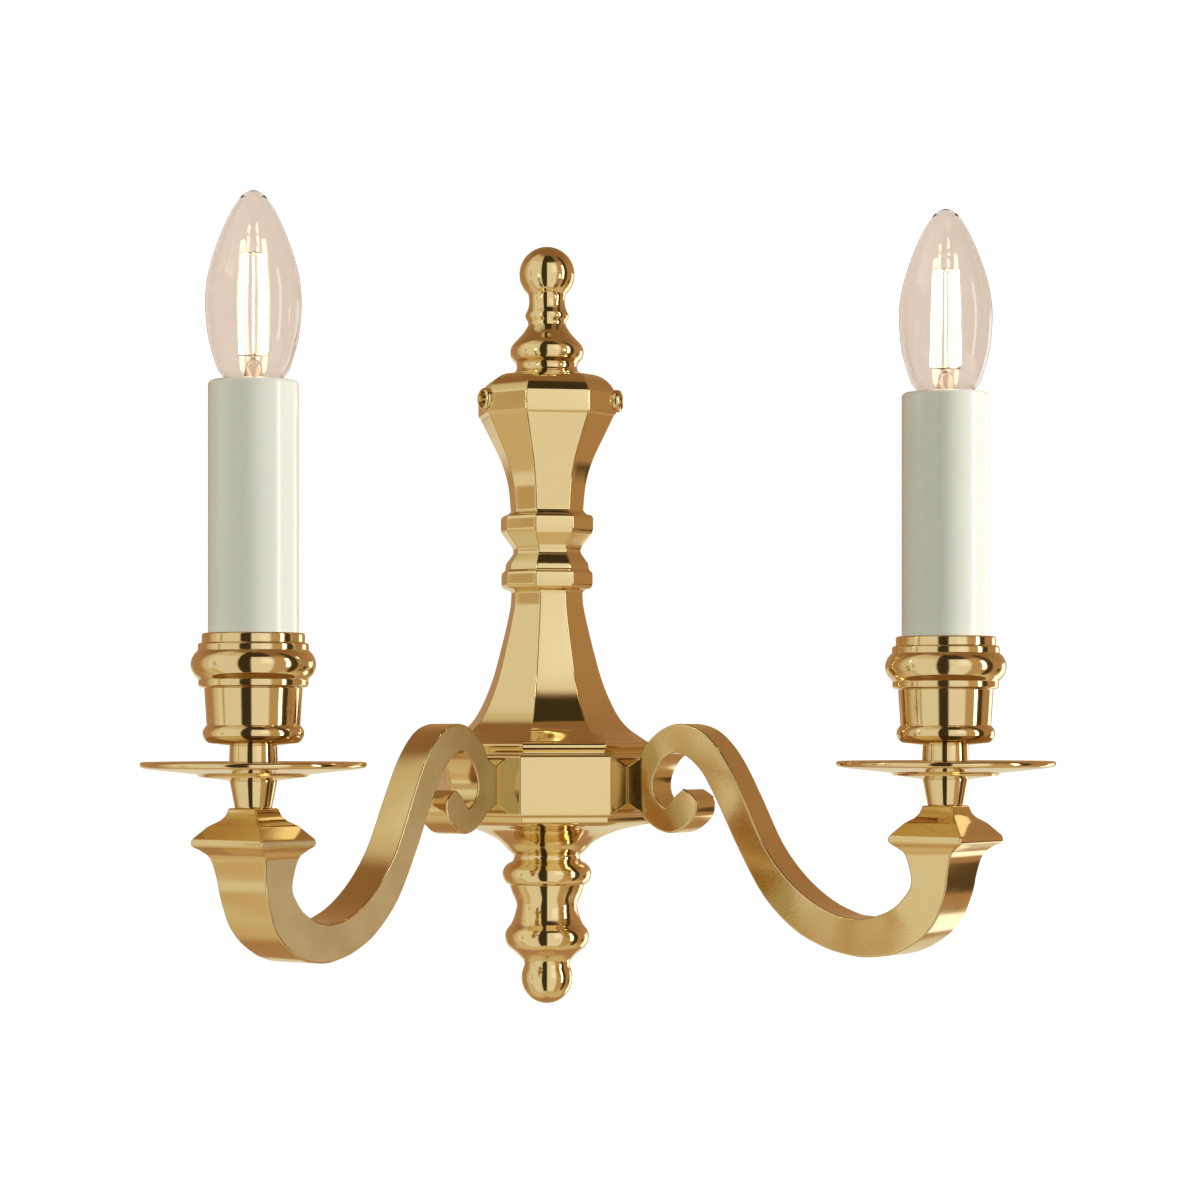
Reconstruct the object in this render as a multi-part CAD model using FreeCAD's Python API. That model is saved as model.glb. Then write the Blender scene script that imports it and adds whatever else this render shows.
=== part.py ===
import FreeCAD, Part
import math
import os

# Double arm wall sconce: a polished brass body that hangs on a steel strap bracket, with two flat
# cast scroll arms. Each arm carries a turned drip pan, a candle cup, an ivory candle sleeve over its
# lampholder and a clear candle lamp.
#
# Frame, in millimetres: the wall is the plane Y = 0 and the sconce stands out towards -Y, +X is to
# its right and +Z is up. The origin is on the wall, level with the two side screws of the body.
# Heights below are in this frame. Plan sizes of the body are from its own axis, and plan sizes of a
# candle are from the candle's axis.

# ---- driving sizes -----------------------------------------------------------------------------
WALL_GAP = 20.0          # wall to the axis of the body
ARM_REACH = 183.7        # axis of the body to the axis of a candle
ARM_ANGLE = 45.0         # each arm, away from straight out of the wall
HUB_HALF = 44.0          # flat of the octagonal hub to its axis
BAND_HALF = 26.4         # flat of the octagonal head band to the axis
CASTING_WALL = 4.0       # thickness of the hollow body casting

FINIAL_TOP = 63.5        # the highest point of the top finial
HEAD_TOP = 11.2          # seat of the top finial
KNOP_TOP = -44.2         # foot of the tapered head
BELL_TOP = -77.6         # foot of the two knops
HUB_TOP = -137.9         # foot of the bell
BODY_FOOT = -183.0       # seat of the bottom finial
FINIAL_FOOT = -244.5     # the lowest point of the bottom finial

CAPITAL_TOP = -161.6     # top of the arm's capital, where the candle parts stand
LIP_TOP = -173.2         # widest moulding of the capital
LIP_FOOT = -175.7
LIP_ALONG = 15.5         # half width of that moulding along the arm
LIP_ACROSS = 16.9        # and across it
CAPITAL_HALF = 6.6       # half width of the capital's top
NECK_SPLIT = -196.0      # below this the arm is a flat bar, above it the neck widens
NECK_HALF = 11.1         # half thickness of the arm there
PAD_HEIGHT = -155.2      # middle of the pad that bears on the hub

PAN_RADIUS = 41.1
PAN_FOOT = -151.7
PAN_TOP = -144.9
CUP_FOOT = -138.9
CUP_TOP = -98.2
SLEEVE_RADIUS = 16.5
SLEEVE_TOP = -6.7
LAMP_TIP = 62.5
LAMP_RADIUS = 17.5
LAMP_CAP_TOP = -9.5
LAMP_FOOT = -35.5
FIT = 0.35               # clearance between pieces that slide on each other

WIRE_RADIUS = 1.3
CHANNEL_RADIUS = 2.2
STUD_RADIUS = 3.0
NIPPLE_RADIUS = 5.0      # M10 threaded tube
NIPPLE_BORE = 3.8

SIDE_SCREW_ANGLE = 67.5  # side screws, away from straight out of the wall
STRAP_HALF = 7.5
STRAP_THICK = 2.0
STRAP_TOP = 6.0
STRAP_FOOT = -150.0
STRAP_HOLES = (-24.0, -124.0)
STRAP_HOLE_RADIUS = 2.5

AXIS_Z = FreeCAD.Vector(0, 0, 1)
ORIGIN = FreeCAD.Vector(0, 0, 0)


# ---- ways of making a shape --------------------------------------------------------------------
def edges_of(start, steps, place):
    """Edges from start through the steps: a point is a line, ("arc", mid, end) an arc and
    ("curve", point, ...) one smooth curve. place turns an outline's two numbers into a point."""
    edges = []
    here = start
    for step in steps:
        if step[0] == "arc":
            edges.append(Part.Arc(place(here), place(step[1]), place(step[2])).toShape())
            here = step[2]
        elif step[0] == "curve":
            spline = Part.BSplineCurve()
            spline.interpolate([place(point) for point in (here,) + step[1:]])
            edges.append(spline.toShape())
            here = step[-1]
        else:
            edges.append(Part.LineSegment(place(here), place(step)).toShape())
            here = step
    return edges


def closed_face(start, steps, place):
    """Face inside an outline that ends where it starts."""
    return Part.Face(Part.Wire(edges_of(start, steps, place)))


def turned(start, *steps):
    """Solid turned about Z from an outline of (radius, height) that ends where it starts."""
    face = closed_face(start, steps, lambda p: FreeCAD.Vector(p[0], 0, p[1]))
    return face.revolve(ORIGIN, AXIS_Z, 360)


def dome(radius, foot, end):
    """Step of a turned outline: from this radius at the foot to the axis, as part of a ball."""
    rise = end - foot
    ball = (radius ** 2 + rise ** 2) / (2 * rise)
    on_ball = math.copysign(math.sqrt(ball ** 2 - (radius / 2) ** 2), rise)
    return ("arc", (radius / 2, end - ball + on_ball), (0, end))


def mirrored_prism(start, steps, half_depth, angle=0.0, widen=1.0):
    """Bar whose section is an outline of (half width, height) and its mirror image. The section
    stands across the direction at this angle from +X, and half_depth is half the bar's length."""
    def right(p):
        return FreeCAD.Vector(p[0] * widen, -half_depth, p[1])

    def left(p):
        return FreeCAD.Vector(-p[0] * widen, -half_depth, p[1])

    wire = Part.Wire(edges_of(start, steps, right) + edges_of(start, steps, left)[::-1])
    bar = Part.Face(wire).extrude(FreeCAD.Vector(0, 2 * half_depth, 0))
    bar.rotate(ORIGIN, AXIS_Z, angle)
    return bar


def octagon(start, steps, corner=1.0):
    """Eight sided block: the same outline mitred round. corner widens the four diagonal sides."""
    block = mirrored_prism(start, steps, 70)
    block = block.common(mirrored_prism(start, steps, 70, 90))
    for angle in (45, 135):
        block = block.common(mirrored_prism(start, steps, 70, angle, corner))
    return block


def box(low, high):
    return Part.makeBox(high[0] - low[0], high[1] - low[1], high[2] - low[2], FreeCAD.Vector(*low))


def rod(radius, start, end):
    """Round bar between two points."""
    span = FreeCAD.Vector(*end).sub(FreeCAD.Vector(*start))
    return Part.makeCylinder(radius, span.Length, FreeCAD.Vector(*start), span)


def tube(radius, bore, start, end):
    return rod(radius, start, end).cut(rod(bore, start, end))


def hexagon_nut(across_flats, bore, low, high):
    """Hexagonal nut about Z with chamfered corners."""
    radius = across_flats / math.sqrt(3)
    corners = [FreeCAD.Vector(radius * math.cos(math.radians(a)), radius * math.sin(math.radians(a)), low)
               for a in range(0, 361, 60)]
    nut = Part.Face(Part.makePolygon(corners)).extrude(FreeCAD.Vector(0, 0, high - low))
    chamfer = 0.12 * across_flats
    blank = turned((0, low), (radius - chamfer, low), (radius, low + 0.5 * chamfer),
                   (radius, high - 0.5 * chamfer), (radius - chamfer, high), (0, high), (0, low))
    return nut.common(blank).cut(rod(bore, (0, 0, low), (0, 0, high)))


def rounded_route(points):
    """Path of straight runs and tangent arcs. Each arc is as large as its two runs allow."""
    points = [FreeCAD.Vector(*p) for p in points]
    edges = []
    here = points[0]
    for before, corner, after in zip(points, points[1:], points[2:]):
        back = before.sub(corner)
        ahead = after.sub(corner)
        cut_off = 0.45 * min(back.Length, ahead.Length)
        back.normalize()
        ahead.normalize()
        half_turn = (math.pi - back.getAngle(ahead)) / 2
        arc_start = corner.add(back * cut_off)
        arc_end = corner.add(ahead * cut_off)
        radius = cut_off / math.tan(half_turn)
        middle = back.add(ahead)
        middle.normalize()
        arc_top = corner.add(middle * (radius / math.cos(half_turn) - radius))
        edges.append(Part.LineSegment(here, arc_start).toShape())
        edges.append(Part.Arc(arc_start, arc_top, arc_end).toShape())
        here = arc_end
    edges.append(Part.LineSegment(here, points[-1]).toShape())
    return Part.Wire(edges)


def pipe(radius, points):
    """Round wire or channel along a rounded route."""
    route = rounded_route(points)
    first = FreeCAD.Vector(*points[0])
    direction = FreeCAD.Vector(*points[1]).sub(first)
    section = Part.Wire([Part.makeCircle(radius, first, direction)])
    return route.makePipeShell([section], True, False)


def moved(shape, x=0.0, y=0.0, z=0.0):
    shape = shape.copy()
    shape.translate(FreeCAD.Vector(x, y, z))
    return shape


def on_axis(shape):
    """Put a piece that was made about the body's axis in its place."""
    return moved(shape, y=-WALL_GAP)


# ---- body: one hollow octagonal casting --------------------------------------------------------
def head_block():
    """Domed shoulder, flat band and concave taper, with narrow diagonal sides."""
    return octagon(
        (0, HEAD_TOP),
        [(14.4, HEAD_TOP), ("arc", (22.2, 8.7), (26.0, 3.2)), (BAND_HALF, 2.4), (BAND_HALF, -5.2),
         (25.5, -6.0), (25.2, -6.6), ("curve", (21.9, -14.1), (17.6, -23.8), (15.0, -33.2), (13.9, KNOP_TOP)),
         (0, KNOP_TOP)],
        corner=1.05)


def knop_block():
    """Two knops with a waist between them. The lower one has a small step above it."""
    return octagon(
        (0, KNOP_TOP),
        [(13.9, KNOP_TOP), (15.2, -45.6), (16.9, -46.0), ("arc", (17.7, -46.5), (17.9, -47.6)),
         (17.9, -51.6), ("arc", (17.7, -52.8), (16.9, -53.9)), (13.7, -58.2),
         ("arc", (12.9, -60.2), (13.6, -62.2)), (15.9, -65.6), (16.3, -68.3), (17.2, -69.0),
         ("arc", (17.6, -69.5), (17.7, -70.3)), (17.7, -74.0), ("arc", (17.3, -75.4), (16.2, -75.9)),
         (14.6, -76.4), (13.8, BELL_TOP), (0, BELL_TOP)])


def bell_block():
    """Concave bell that flares out to the hub."""
    return octagon(
        (0, BELL_TOP),
        [(13.8, BELL_TOP),
         ("curve", (14.6, -85.0), (17.7, -99.1), (21.6, -113.8), (26.4, -125.4), (31.2, -132.2), (38.6, HUB_TOP)),
         (0, HUB_TOP)],
        corner=0.97)


def hub_block():
    """Ledge, flat band that carries the arms, and a concave underside that turns round at its foot."""
    start = (0, HUB_TOP)
    steps = [(39.3, HUB_TOP), ("arc", (40.9, -139.4), (39.9, -141.2)), (39.6, -142.6), (42.9, -142.8),
             ("arc", (43.7, -143.1), (HUB_HALF, -143.9)), (HUB_HALF, -166.6), (43.4, -167.4), (42.4, -167.6),
             (41.9, -169.9), ("curve", (30.4, -173.1), (23.6, -175.7), (18.4, -178.9), (14.9, BODY_FOOT)),
             (0, BODY_FOOT)]
    rounding = turned(start, (52, HUB_TOP), (52, -169.9), (46.0, -170.0),
                      ("curve", (32.4, -173.1), (24.6, -175.7), (18.9, -178.9), (14.7, BODY_FOOT)),
                      (0, BODY_FOOT), start)
    return octagon(start, steps).common(rounding)


def head_cavity():
    """Pocket in the head, open to the wall, for the yoke of the bracket."""
    pocket = octagon((0, 6.6), [(17.5, 6.6), (20.5, 2.0), (20.5, -5.0), (17.5, -14.0), (0, -14.0)])
    return pocket.fuse(box((-16, -4, -14), (16, WALL_GAP + 1, 6.6)))


def hub_cavity():
    """Wiring space in the bell and the hub, open to the wall."""
    wide = HUB_HALF - CASTING_WALL
    return octagon(
        (0, -104.0),
        [(13.4, -104.0), ("curve", (17.2, -113.8), (22.0, -125.4), (27.0, -132.6), (34.4, -138.6)),
         (wide, -143.8), (wide, -163.4), (0, -163.4)])


def side_screw_place(shape, side):
    """Turn a piece that was made along +X, outwards from the axis, to the line of a side screw."""
    turned_shape = shape.copy()
    turned_shape.rotate(ORIGIN, AXIS_Z, SIDE_SCREW_ANGLE - 90 if side > 0 else 270 - SIDE_SCREW_ANGLE)
    return turned_shape


BOSS_END = 31.0
BOSS_SEAT = 25.5


def body_casting():
    body = head_block().fuse([knop_block(), bell_block(), hub_block()])
    for side in (-1, 1):
        boss = turned((0, 20), (4.6, 20), (4.6, BOSS_END - 0.8), ("arc", (4.37, BOSS_END - 0.23), (3.8, BOSS_END)),
                      (0, BOSS_END), (0, 20))
        boss.rotate(ORIGIN, FreeCAD.Vector(0, 1, 0), 90)
        body = body.fuse(side_screw_place(boss, side))
    body = body.cut(box((-80, WALL_GAP, -300), (80, 120, 100)))
    strap_channel = box((-STRAP_HALF - 0.7, 13.6, STRAP_FOOT - 5), (STRAP_HALF + 0.7, WALL_GAP + 1, 6.6))
    screw_pocket = box((-STRAP_HALF - 0.7, 6, STRAP_HOLES[0] - 9), (STRAP_HALF + 0.7, WALL_GAP + 1, -13))
    cuts = [head_cavity(), hub_cavity(), strap_channel, screw_pocket,
            rod(STUD_RADIUS + 0.1, (0, 0, 0), (0, 0, HEAD_TOP + 1)),
            rod(STUD_RADIUS + 0.1, (0, 0, BODY_FOOT - 1), (0, 0, -160))]
    for side in (-1, 1):
        cuts.append(side_screw_place(rod(3.05, (BOSS_SEAT, 0, 0), (BOSS_END + 1, 0, 0)), side))
        cuts.append(side_screw_place(rod(2.15, (16, 0, 0), (BOSS_END, 0, 0)), side))
        cuts.append(along_arm(rod(4.1, (30, 0, PAD_HEIGHT), (HUB_HALF + 1, 0, PAD_HEIGHT)), side, 0))
    for cut in cuts:
        body = body.cut(cut)
    return on_axis(body)


# ---- finials: turned solid brass ---------------------------------------------------------------
def top_finial():
    return on_axis(turned(
        (0, HEAD_TOP),
        (14.4, HEAD_TOP), (14.4, 11.7), ("arc", (12.9, 12.6), (12.3, 14.2)), ("arc", (12.5, 15.5), (13.4, 16.7)),
        ("arc", (14.95, 20.6), (13.4, 24.2)), ("curve", (9.9, 28.0), (8.0, 30.9)), ("arc", (7.7, 32.6), (8.3, 33.6)),
        ("arc", (8.8, 35.2), (8.3, 36.9)), ("arc", (7.3, 40.3), (7.6, 44.0)),
        dome(7.6, 44.0, FINIAL_TOP), (0, HEAD_TOP)
    ).cut(rod(STUD_RADIUS, (0, 0, HEAD_TOP - 1), (0, 0, 27))))


def bottom_finial():
    return on_axis(turned(
        (0, BODY_FOOT),
        (14.7, BODY_FOOT), ("arc", (13.4, -184.8), (14.6, -187.0)), ("arc", (18.1, -192.1), (16.3, -195.7)),
        (15.2, -196.2), ("curve", (14.2, -199.6), (12.4, -204.3), (13.2, -208.9), (14.6, -212.2)),
        (15.2, -213.0), ("arc", (17.1, -217.7), (15.2, -221.8)), ("curve", (12.2, -224.2), (9.8, -226.6)),
        ("arc", (9.2, -228.3), (9.5, -229.9)), dome(9.5, -229.9, FINIAL_FOOT), (0, BODY_FOOT)
    ).cut(rod(STUD_RADIUS, (0, 0, BODY_FOOT + 1), (0, 0, -200))))


def finial_fixings():
    """Threaded studs that hold the finials to the casting, with their nuts inside it."""
    return {
        "top_stud": on_axis(rod(STUD_RADIUS, (0, 0, -1), (0, 0, 26.5))),
        "top_stud_nut": on_axis(hexagon_nut(10, STUD_RADIUS, 1.6, 6.6)),
        "bottom_stud": on_axis(rod(STUD_RADIUS, (0, 0, -199.5), (0, 0, -157))),
        "bottom_stud_nut": on_axis(hexagon_nut(10, STUD_RADIUS, -163.4, -158.4)),
    }


# ---- bracket: what stays on the wall -----------------------------------------------------------
EARTH_HEIGHT = -112.0
YOKE_HALF_HEIGHT = 5.5
YOKE_THICK = 2.0
TAB_RADIUS = 13.0        # the body's axis to the middle of the yoke's tab


def wall_strap():
    """Steel strip with two holes for the wall screws and one for the earth screw."""
    strap = box((-STRAP_HALF, -STRAP_THICK, STRAP_FOOT), (STRAP_HALF, 0, STRAP_TOP))
    ends = [edge for edge in strap.Edges if edge.Length < STRAP_THICK + 0.1 and abs(edge.tangentAt(0).y) > 0.9]
    strap = strap.makeFillet(4.0, ends)
    for height in STRAP_HOLES:
        strap = strap.cut(rod(STRAP_HOLE_RADIUS, (0, -5, height), (0, 1, height)))
    return strap.cut(rod(2.0, (0, -5, EARTH_HEIGHT), (0, 1, EARTH_HEIGHT)))


def strap_yoke():
    """Bent steel strip that is riveted to the strap. The side screws draw the body on to its tabs."""
    turn = math.radians(SIDE_SCREW_ANGLE)
    outward = FreeCAD.Vector(math.sin(turn), -math.cos(turn), 0)
    along = FreeCAD.Vector(math.cos(turn), math.sin(turn), 0)
    tab_front = outward * TAB_RADIUS - along * 6.5
    tab_back = outward * TAB_RADIUS + along * 6.5
    base = WALL_GAP - STRAP_THICK - YOKE_THICK / 2
    half_plan = [(tab_front.x, tab_front.y), (tab_back.x, tab_back.y), (tab_back.x, base)]
    plan = [(-x, y) for x, y in half_plan] + half_plan[::-1]
    yoke = None
    for start, end in zip(plan, plan[1:]):
        leg = FreeCAD.Vector(end[0] - start[0], end[1] - start[1], 0)
        plate = box((-YOKE_THICK / 2, -YOKE_THICK / 2, -YOKE_HALF_HEIGHT),
                    (leg.Length + YOKE_THICK / 2, YOKE_THICK / 2, YOKE_HALF_HEIGHT))
        plate.rotate(ORIGIN, AXIS_Z, math.degrees(math.atan2(leg.y, leg.x)))
        plate = moved(plate, start[0], start[1])
        yoke = plate if yoke is None else yoke.fuse(plate)
    for side in (-1, 1):
        yoke = yoke.cut(side_screw_place(rod(2.0, (5, 0, 0), (20, 0, 0)), side))
    return on_axis(yoke.removeSplitter())


def side_screws():
    """Two cheese head screws, sunk in the bosses of the head band, with their slots."""
    screws = []
    for side in (-1, 1):
        screw = rod(2.0, (TAB_RADIUS - 3.5, 0, 0), (BOSS_SEAT, 0, 0))
        screw = screw.fuse(rod(2.9, (BOSS_SEAT, 0, 0), (BOSS_SEAT + 2.8, 0, 0)))
        screw = screw.cut(box((BOSS_SEAT + 1.8, -0.45, -4), (BOSS_SEAT + 4, 0.45, 4)))
        screws.append(on_axis(side_screw_place(screw.removeSplitter(), side)))
    return Part.makeCompound(screws)


TERMINAL_LOW = (-15.0, -16.0, -146.0)
TERMINAL_HIGH = (15.0, -STRAP_THICK, -131.0)


def terminal_parts():
    """Three pole terminal block on the strap, with two clamp screws for each pole, and the earth screw."""
    depth = TERMINAL_LOW[1]
    block = box((TERMINAL_LOW[0], depth + 4, TERMINAL_LOW[2]), (TERMINAL_HIGH[0], TERMINAL_HIGH[1], TERMINAL_HIGH[2]))
    screws = []
    for pole in (-10.0, 0.0, 10.0):
        block = block.fuse(box((pole - 3.6, depth, TERMINAL_LOW[2] + 1), (pole + 3.6, depth + 5, TERMINAL_HIGH[2] - 1)))
    block = block.removeSplitter()
    for pole in (-10.0, 0.0, 10.0):
        block = block.cut(rod(1.7, (pole, -7.5, TERMINAL_LOW[2] - 1), (pole, -7.5, TERMINAL_HIGH[2] + 1)))
        for height in (-142.2, -134.8):
            block = block.cut(rod(1.8, (pole, depth - 1, height), (pole, -8, height)))
            screw = rod(1.6, (pole, depth + 1.2, height), (pole, depth + 5.5, height))
            screws.append(screw.cut(box((pole - 0.3, depth, height - 2), (pole + 0.3, depth + 1.9, height + 2))))
    head = turned((0, 0), (3.9, 0), dome(3.9, 0, 2.6), (0, 0))
    head = head.cut(box((-0.5, -5, 1.5), (0.5, 5, 4))).fuse(rod(2.0, (0, 0, -3.0), (0, 0, 0)))
    head.rotate(ORIGIN, FreeCAD.Vector(1, 0, 0), 90)
    washer = tube(4.6, 2.0, (0, -STRAP_THICK - 1.0, EARTH_HEIGHT), (0, -STRAP_THICK, EARTH_HEIGHT))
    return {
        "terminal_block": block,
        "terminal_screws": Part.makeCompound(screws),
        "earth_screw": moved(head.removeSplitter(), y=-STRAP_THICK - 1.0, z=EARTH_HEIGHT),
        "earth_washer": washer,
    }


# ---- arms: flat scroll castings ----------------------------------------------------------------
def along_arm(shape, side, reach=ARM_REACH):
    """Put a piece in the plane of an arm. It was made with +X outwards along the arm, about a point
    at this reach from the body's axis. The caller moves it out from the wall."""
    placed = moved(shape, x=reach)
    placed.rotate(ORIGIN, AXIS_Z, ARM_ANGLE - 90 if side > 0 else -90 - ARM_ANGLE)
    return placed


def ogee(half, top_half, direction):
    """Points of the capital's moulding from its lip up to its top, to one side of the candle axis."""
    slope = half - 4.1
    shelf = half - 4.8
    points = [(half, LIP_TOP), (slope, -168.5), (shelf, -167.7),
              ("curve", (top_half + 1.5, -165.7), (top_half + 0.2, -162.9)), (top_half, CAPITAL_TOP)]
    if direction > 0:
        return points
    return [(top_half, CAPITAL_TOP), ("curve", (top_half + 0.2, -162.9), (top_half + 1.5, -165.7), (shelf, -167.7)),
            (slope, -168.5), (half, LIP_TOP), (half, LIP_FOOT)]


def arm_outline(step, mirror):
    """A step of the ogee, in heights and distances from the body's axis."""
    def shift(p):
        return (ARM_REACH + mirror * p[0], p[1])

    if step[0] == "curve":
        return ("curve",) + tuple(shift(p) for p in step[1:])
    return shift(step)


def arm_side():
    """Side view of an arm in (distance from the body's axis, height)."""
    inner_ogee = [arm_outline(step, -1) for step in ogee(LIP_ALONG, CAPITAL_HALF, 1)]
    outer_ogee = [arm_outline(step, 1) for step in ogee(LIP_ALONG, CAPITAL_HALF, -1)]
    pad_top = (49.3, -144.8)
    pad_foot = (49.3, -165.6)
    steps = [(HUB_HALF, -147.6), pad_top,
             ("curve", (54.6, -137.3), (61.0, -132.7), (68.6, -130.8), (77.8, -133.0), (85.2, -138.7),
              (91.8, -147.3), (99.2, -160.7), (108.3, -177.9), (118.7, -190.3), (130.4, -199.1), (141.2, -203.7),
              (152.0, -204.9), (164.0, -201.8), (171.8, -196.0), (175.1, -188.0), (173.3, -180.0),
              (ARM_REACH - LIP_ALONG, LIP_FOOT))]
    steps += inner_ogee + outer_ogee
    steps += [("curve", (192.6, -179.8), (191.2, -185.0), (189.7, -193.2), (185.8, -203.5), (178.8, -211.3),
               (168.0, -217.2), (154.0, -219.4), (140.5, -217.7), (128.0, -213.3), (117.0, -206.6), (108.2, -197.8),
               (100.2, -185.8), (92.3, -172.2), (85.2, -159.2), (79.0, -149.8), (73.0, -144.4), (67.4, -142.0),
               (61.5, -144.6), (57.4, -150.0), (56.2, -156.0), (58.4, -161.0), (62.5, -163.8)),
              ("curve", (66.0, -160.0), (70.4, -156.6), (74.4, -158.6), (77.0, -163.0), (75.6, -167.8),
               (70.0, -172.3), (64.5, -174.0), (58.0, -172.4), (52.9, -168.6), pad_foot),
              (HUB_HALF, -162.8)]
    return closed_face((HUB_HALF, -162.8), steps, lambda p: FreeCAD.Vector(p[0], -40, p[1]))


def arm_plan():
    """Plan of an arm: slim at the scroll and thicker towards the neck."""
    def place(p):
        return FreeCAD.Vector(p[0], p[1], -300)

    curve = [(80, 7.0), (110, 7.7), (145, 8.8), (172, NECK_HALF)]
    near = edges_of((30, 7.0), [(80, 7.0), ("curve",) + tuple(curve[1:]), (220, NECK_HALF)], place)
    far = edges_of((30, -7.0), [(80, -7.0), ("curve",) + tuple((x, -y) for x, y in curve[1:]), (220, -NECK_HALF)], place)
    ends = edges_of((30, -7.0), [(30, 7.0)], place) + edges_of((220, NECK_HALF), [(220, -NECK_HALF)], place)
    wire = Part.Wire([ends[0]] + near + [ends[1]] + far[::-1])
    return Part.Face(wire).extrude(FreeCAD.Vector(0, 0, 300))


def neck_front():
    """Neck and capital seen along the arm, in (half width, height)."""
    steps = [(NECK_HALF, NECK_SPLIT), ("curve", (11.7, -189.0), (12.4, -183.0), (13.8, -178.9), (LIP_ACROSS, LIP_FOOT))]
    steps += ogee(LIP_ACROSS, CAPITAL_HALF, 1) + [(0, CAPITAL_TOP)]
    bar = mirrored_prism((0, NECK_SPLIT), steps, 60, 90)
    return moved(bar, x=ARM_REACH).common(box((150, -30, NECK_SPLIT), (215, 30, CAPITAL_TOP)))


ARM_ROUTE = [(183.5, -170.0), (183.0, -194.0), (172.5, -210.5), (147.0, -213.0), (121.0, -202.5), (103.5, -181.5),
             (91.5, -159.5), (80.0, -140.5), (66.0, -134.8), (54.0, -142.5), (52.3, PAD_HEIGHT), (43.0, PAD_HEIGHT)]


def arm():
    """Cast arm with its cored wire channel, made in its own plane."""
    side = arm_side().extrude(FreeCAD.Vector(0, 80, 0))
    neck_room = box((158, -45, NECK_SPLIT), (220, 45, CAPITAL_TOP + 1))
    bar = side.common(arm_plan()).cut(neck_room)
    casting = bar.fuse(side.common(neck_front())).removeSplitter()
    casting = casting.cut(rod(NIPPLE_RADIUS, (ARM_REACH, 0, CAPITAL_TOP - 10), (ARM_REACH, 0, CAPITAL_TOP + 1)))
    casting = casting.cut(rod(4.0, (HUB_HALF - 1, 0, PAD_HEIGHT), (49.3, 0, PAD_HEIGHT)))
    return casting.cut(pipe(CHANNEL_RADIUS, [(s, 0, z) for s, z in ARM_ROUTE]))


def arm_nipple():
    """Hollow threaded tube that draws the pad of the arm on to the hub."""
    return tube(4.0, 2.7, (31.0, 0, PAD_HEIGHT), (49.3, 0, PAD_HEIGHT))


def arm_nut():
    nut = hexagon_nut(13, 4.0, 0, 4.0)
    nut.rotate(ORIGIN, FreeCAD.Vector(0, 1, 0), 90)
    return moved(nut, x=HUB_HALF - CASTING_WALL - 4.0, z=PAD_HEIGHT)


# ---- candle parts: turned about the candle's axis ----------------------------------------------
def lower_neck():
    return turned((NIPPLE_RADIUS + 0.1, CAPITAL_TOP), (6.7, CAPITAL_TOP), (6.9, CAPITAL_TOP + 0.6), (8.6, PAN_FOOT - 0.4),
                  (8.6, PAN_FOOT), (NIPPLE_RADIUS + 0.1, PAN_FOOT), (NIPPLE_RADIUS + 0.1, CAPITAL_TOP))


def drip_pan():
    """Shallow dished pan with a thin rim, a step ring and a coned foot below it."""
    return turned(
        (NIPPLE_RADIUS + 0.1, PAN_FOOT), (9.4, PAN_FOOT), (18.9, PAN_FOOT + 1.3), (19.6, PAN_FOOT + 1.3),
        (20.1, PAN_FOOT + 1.9), (20.6, PAN_FOOT + 2.3), (37.0, PAN_FOOT + 4.0), (40.3, PAN_TOP - 2.2),
        ("arc", (PAN_RADIUS, PAN_TOP - 1.1), (40.3, PAN_TOP)), (39.6, PAN_TOP),
        ("curve", (35.0, PAN_TOP - 1.1), (27.0, PAN_TOP - 1.6), (19.0, PAN_TOP - 1.8)), (12.0, PAN_TOP - 1.8),
        ("arc", (9.7, PAN_TOP - 1.4), (9.2, PAN_TOP)), (NIPPLE_RADIUS + 0.1, PAN_TOP),
        (NIPPLE_RADIUS + 0.1, PAN_FOOT))


def upper_neck():
    return turned((NIPPLE_RADIUS + 0.1, PAN_TOP), (8.8, PAN_TOP), (8.6, CUP_FOOT), (NIPPLE_RADIUS + 0.1, CUP_FOOT),
                  (NIPPLE_RADIUS + 0.1, PAN_TOP))


CUP_FLOOR = CUP_FOOT + 6.2


def candle_cup():
    """Turned cup: foot ring, slightly tapered wall, ring, bulge, step and plain collar."""
    inside = SLEEVE_RADIUS + FIT
    return turned(
        (NIPPLE_RADIUS + 0.1, CUP_FOOT), (9.8, CUP_FOOT), (16.4, CUP_FOOT + 0.9),
        ("arc", (18.4, CUP_FOOT + 3.9), (17.4, CUP_FOOT + 6.8)), (16.9, CUP_FOOT + 7.3), (17.0, CUP_FOOT + 8.0),
        (17.8, CUP_FOOT + 20.8), (19.5, CUP_FOOT + 21.2), (19.9, CUP_FOOT + 21.7), (19.9, CUP_FOOT + 23.8),
        (20.4, CUP_FOOT + 24.4), ("arc", (22.7, CUP_FOOT + 29.3), (20.6, CUP_FOOT + 34.0)), (20.1, CUP_TOP - 6.3),
        (20.1, CUP_TOP - 4.2), (19.7, CUP_TOP - 3.7), (18.7, CUP_TOP - 3.5), (18.7, CUP_TOP - 0.5),
        (18.2, CUP_TOP), (inside, CUP_TOP), (inside, CUP_FLOOR),
        (NIPPLE_RADIUS + 0.1, CUP_FLOOR), (NIPPLE_RADIUS + 0.1, CUP_FOOT))


HOLDER_FOOT = -72.0
HOLDER_TOP = -10.5
NIPPLE_TOP = -60.0


def candle_nipple():
    """Long threaded tube from the arm's capital up to the lampholder."""
    return tube(NIPPLE_RADIUS, NIPPLE_BORE, (0, 0, CAPITAL_TOP - 10), (0, 0, NIPPLE_TOP))


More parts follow.
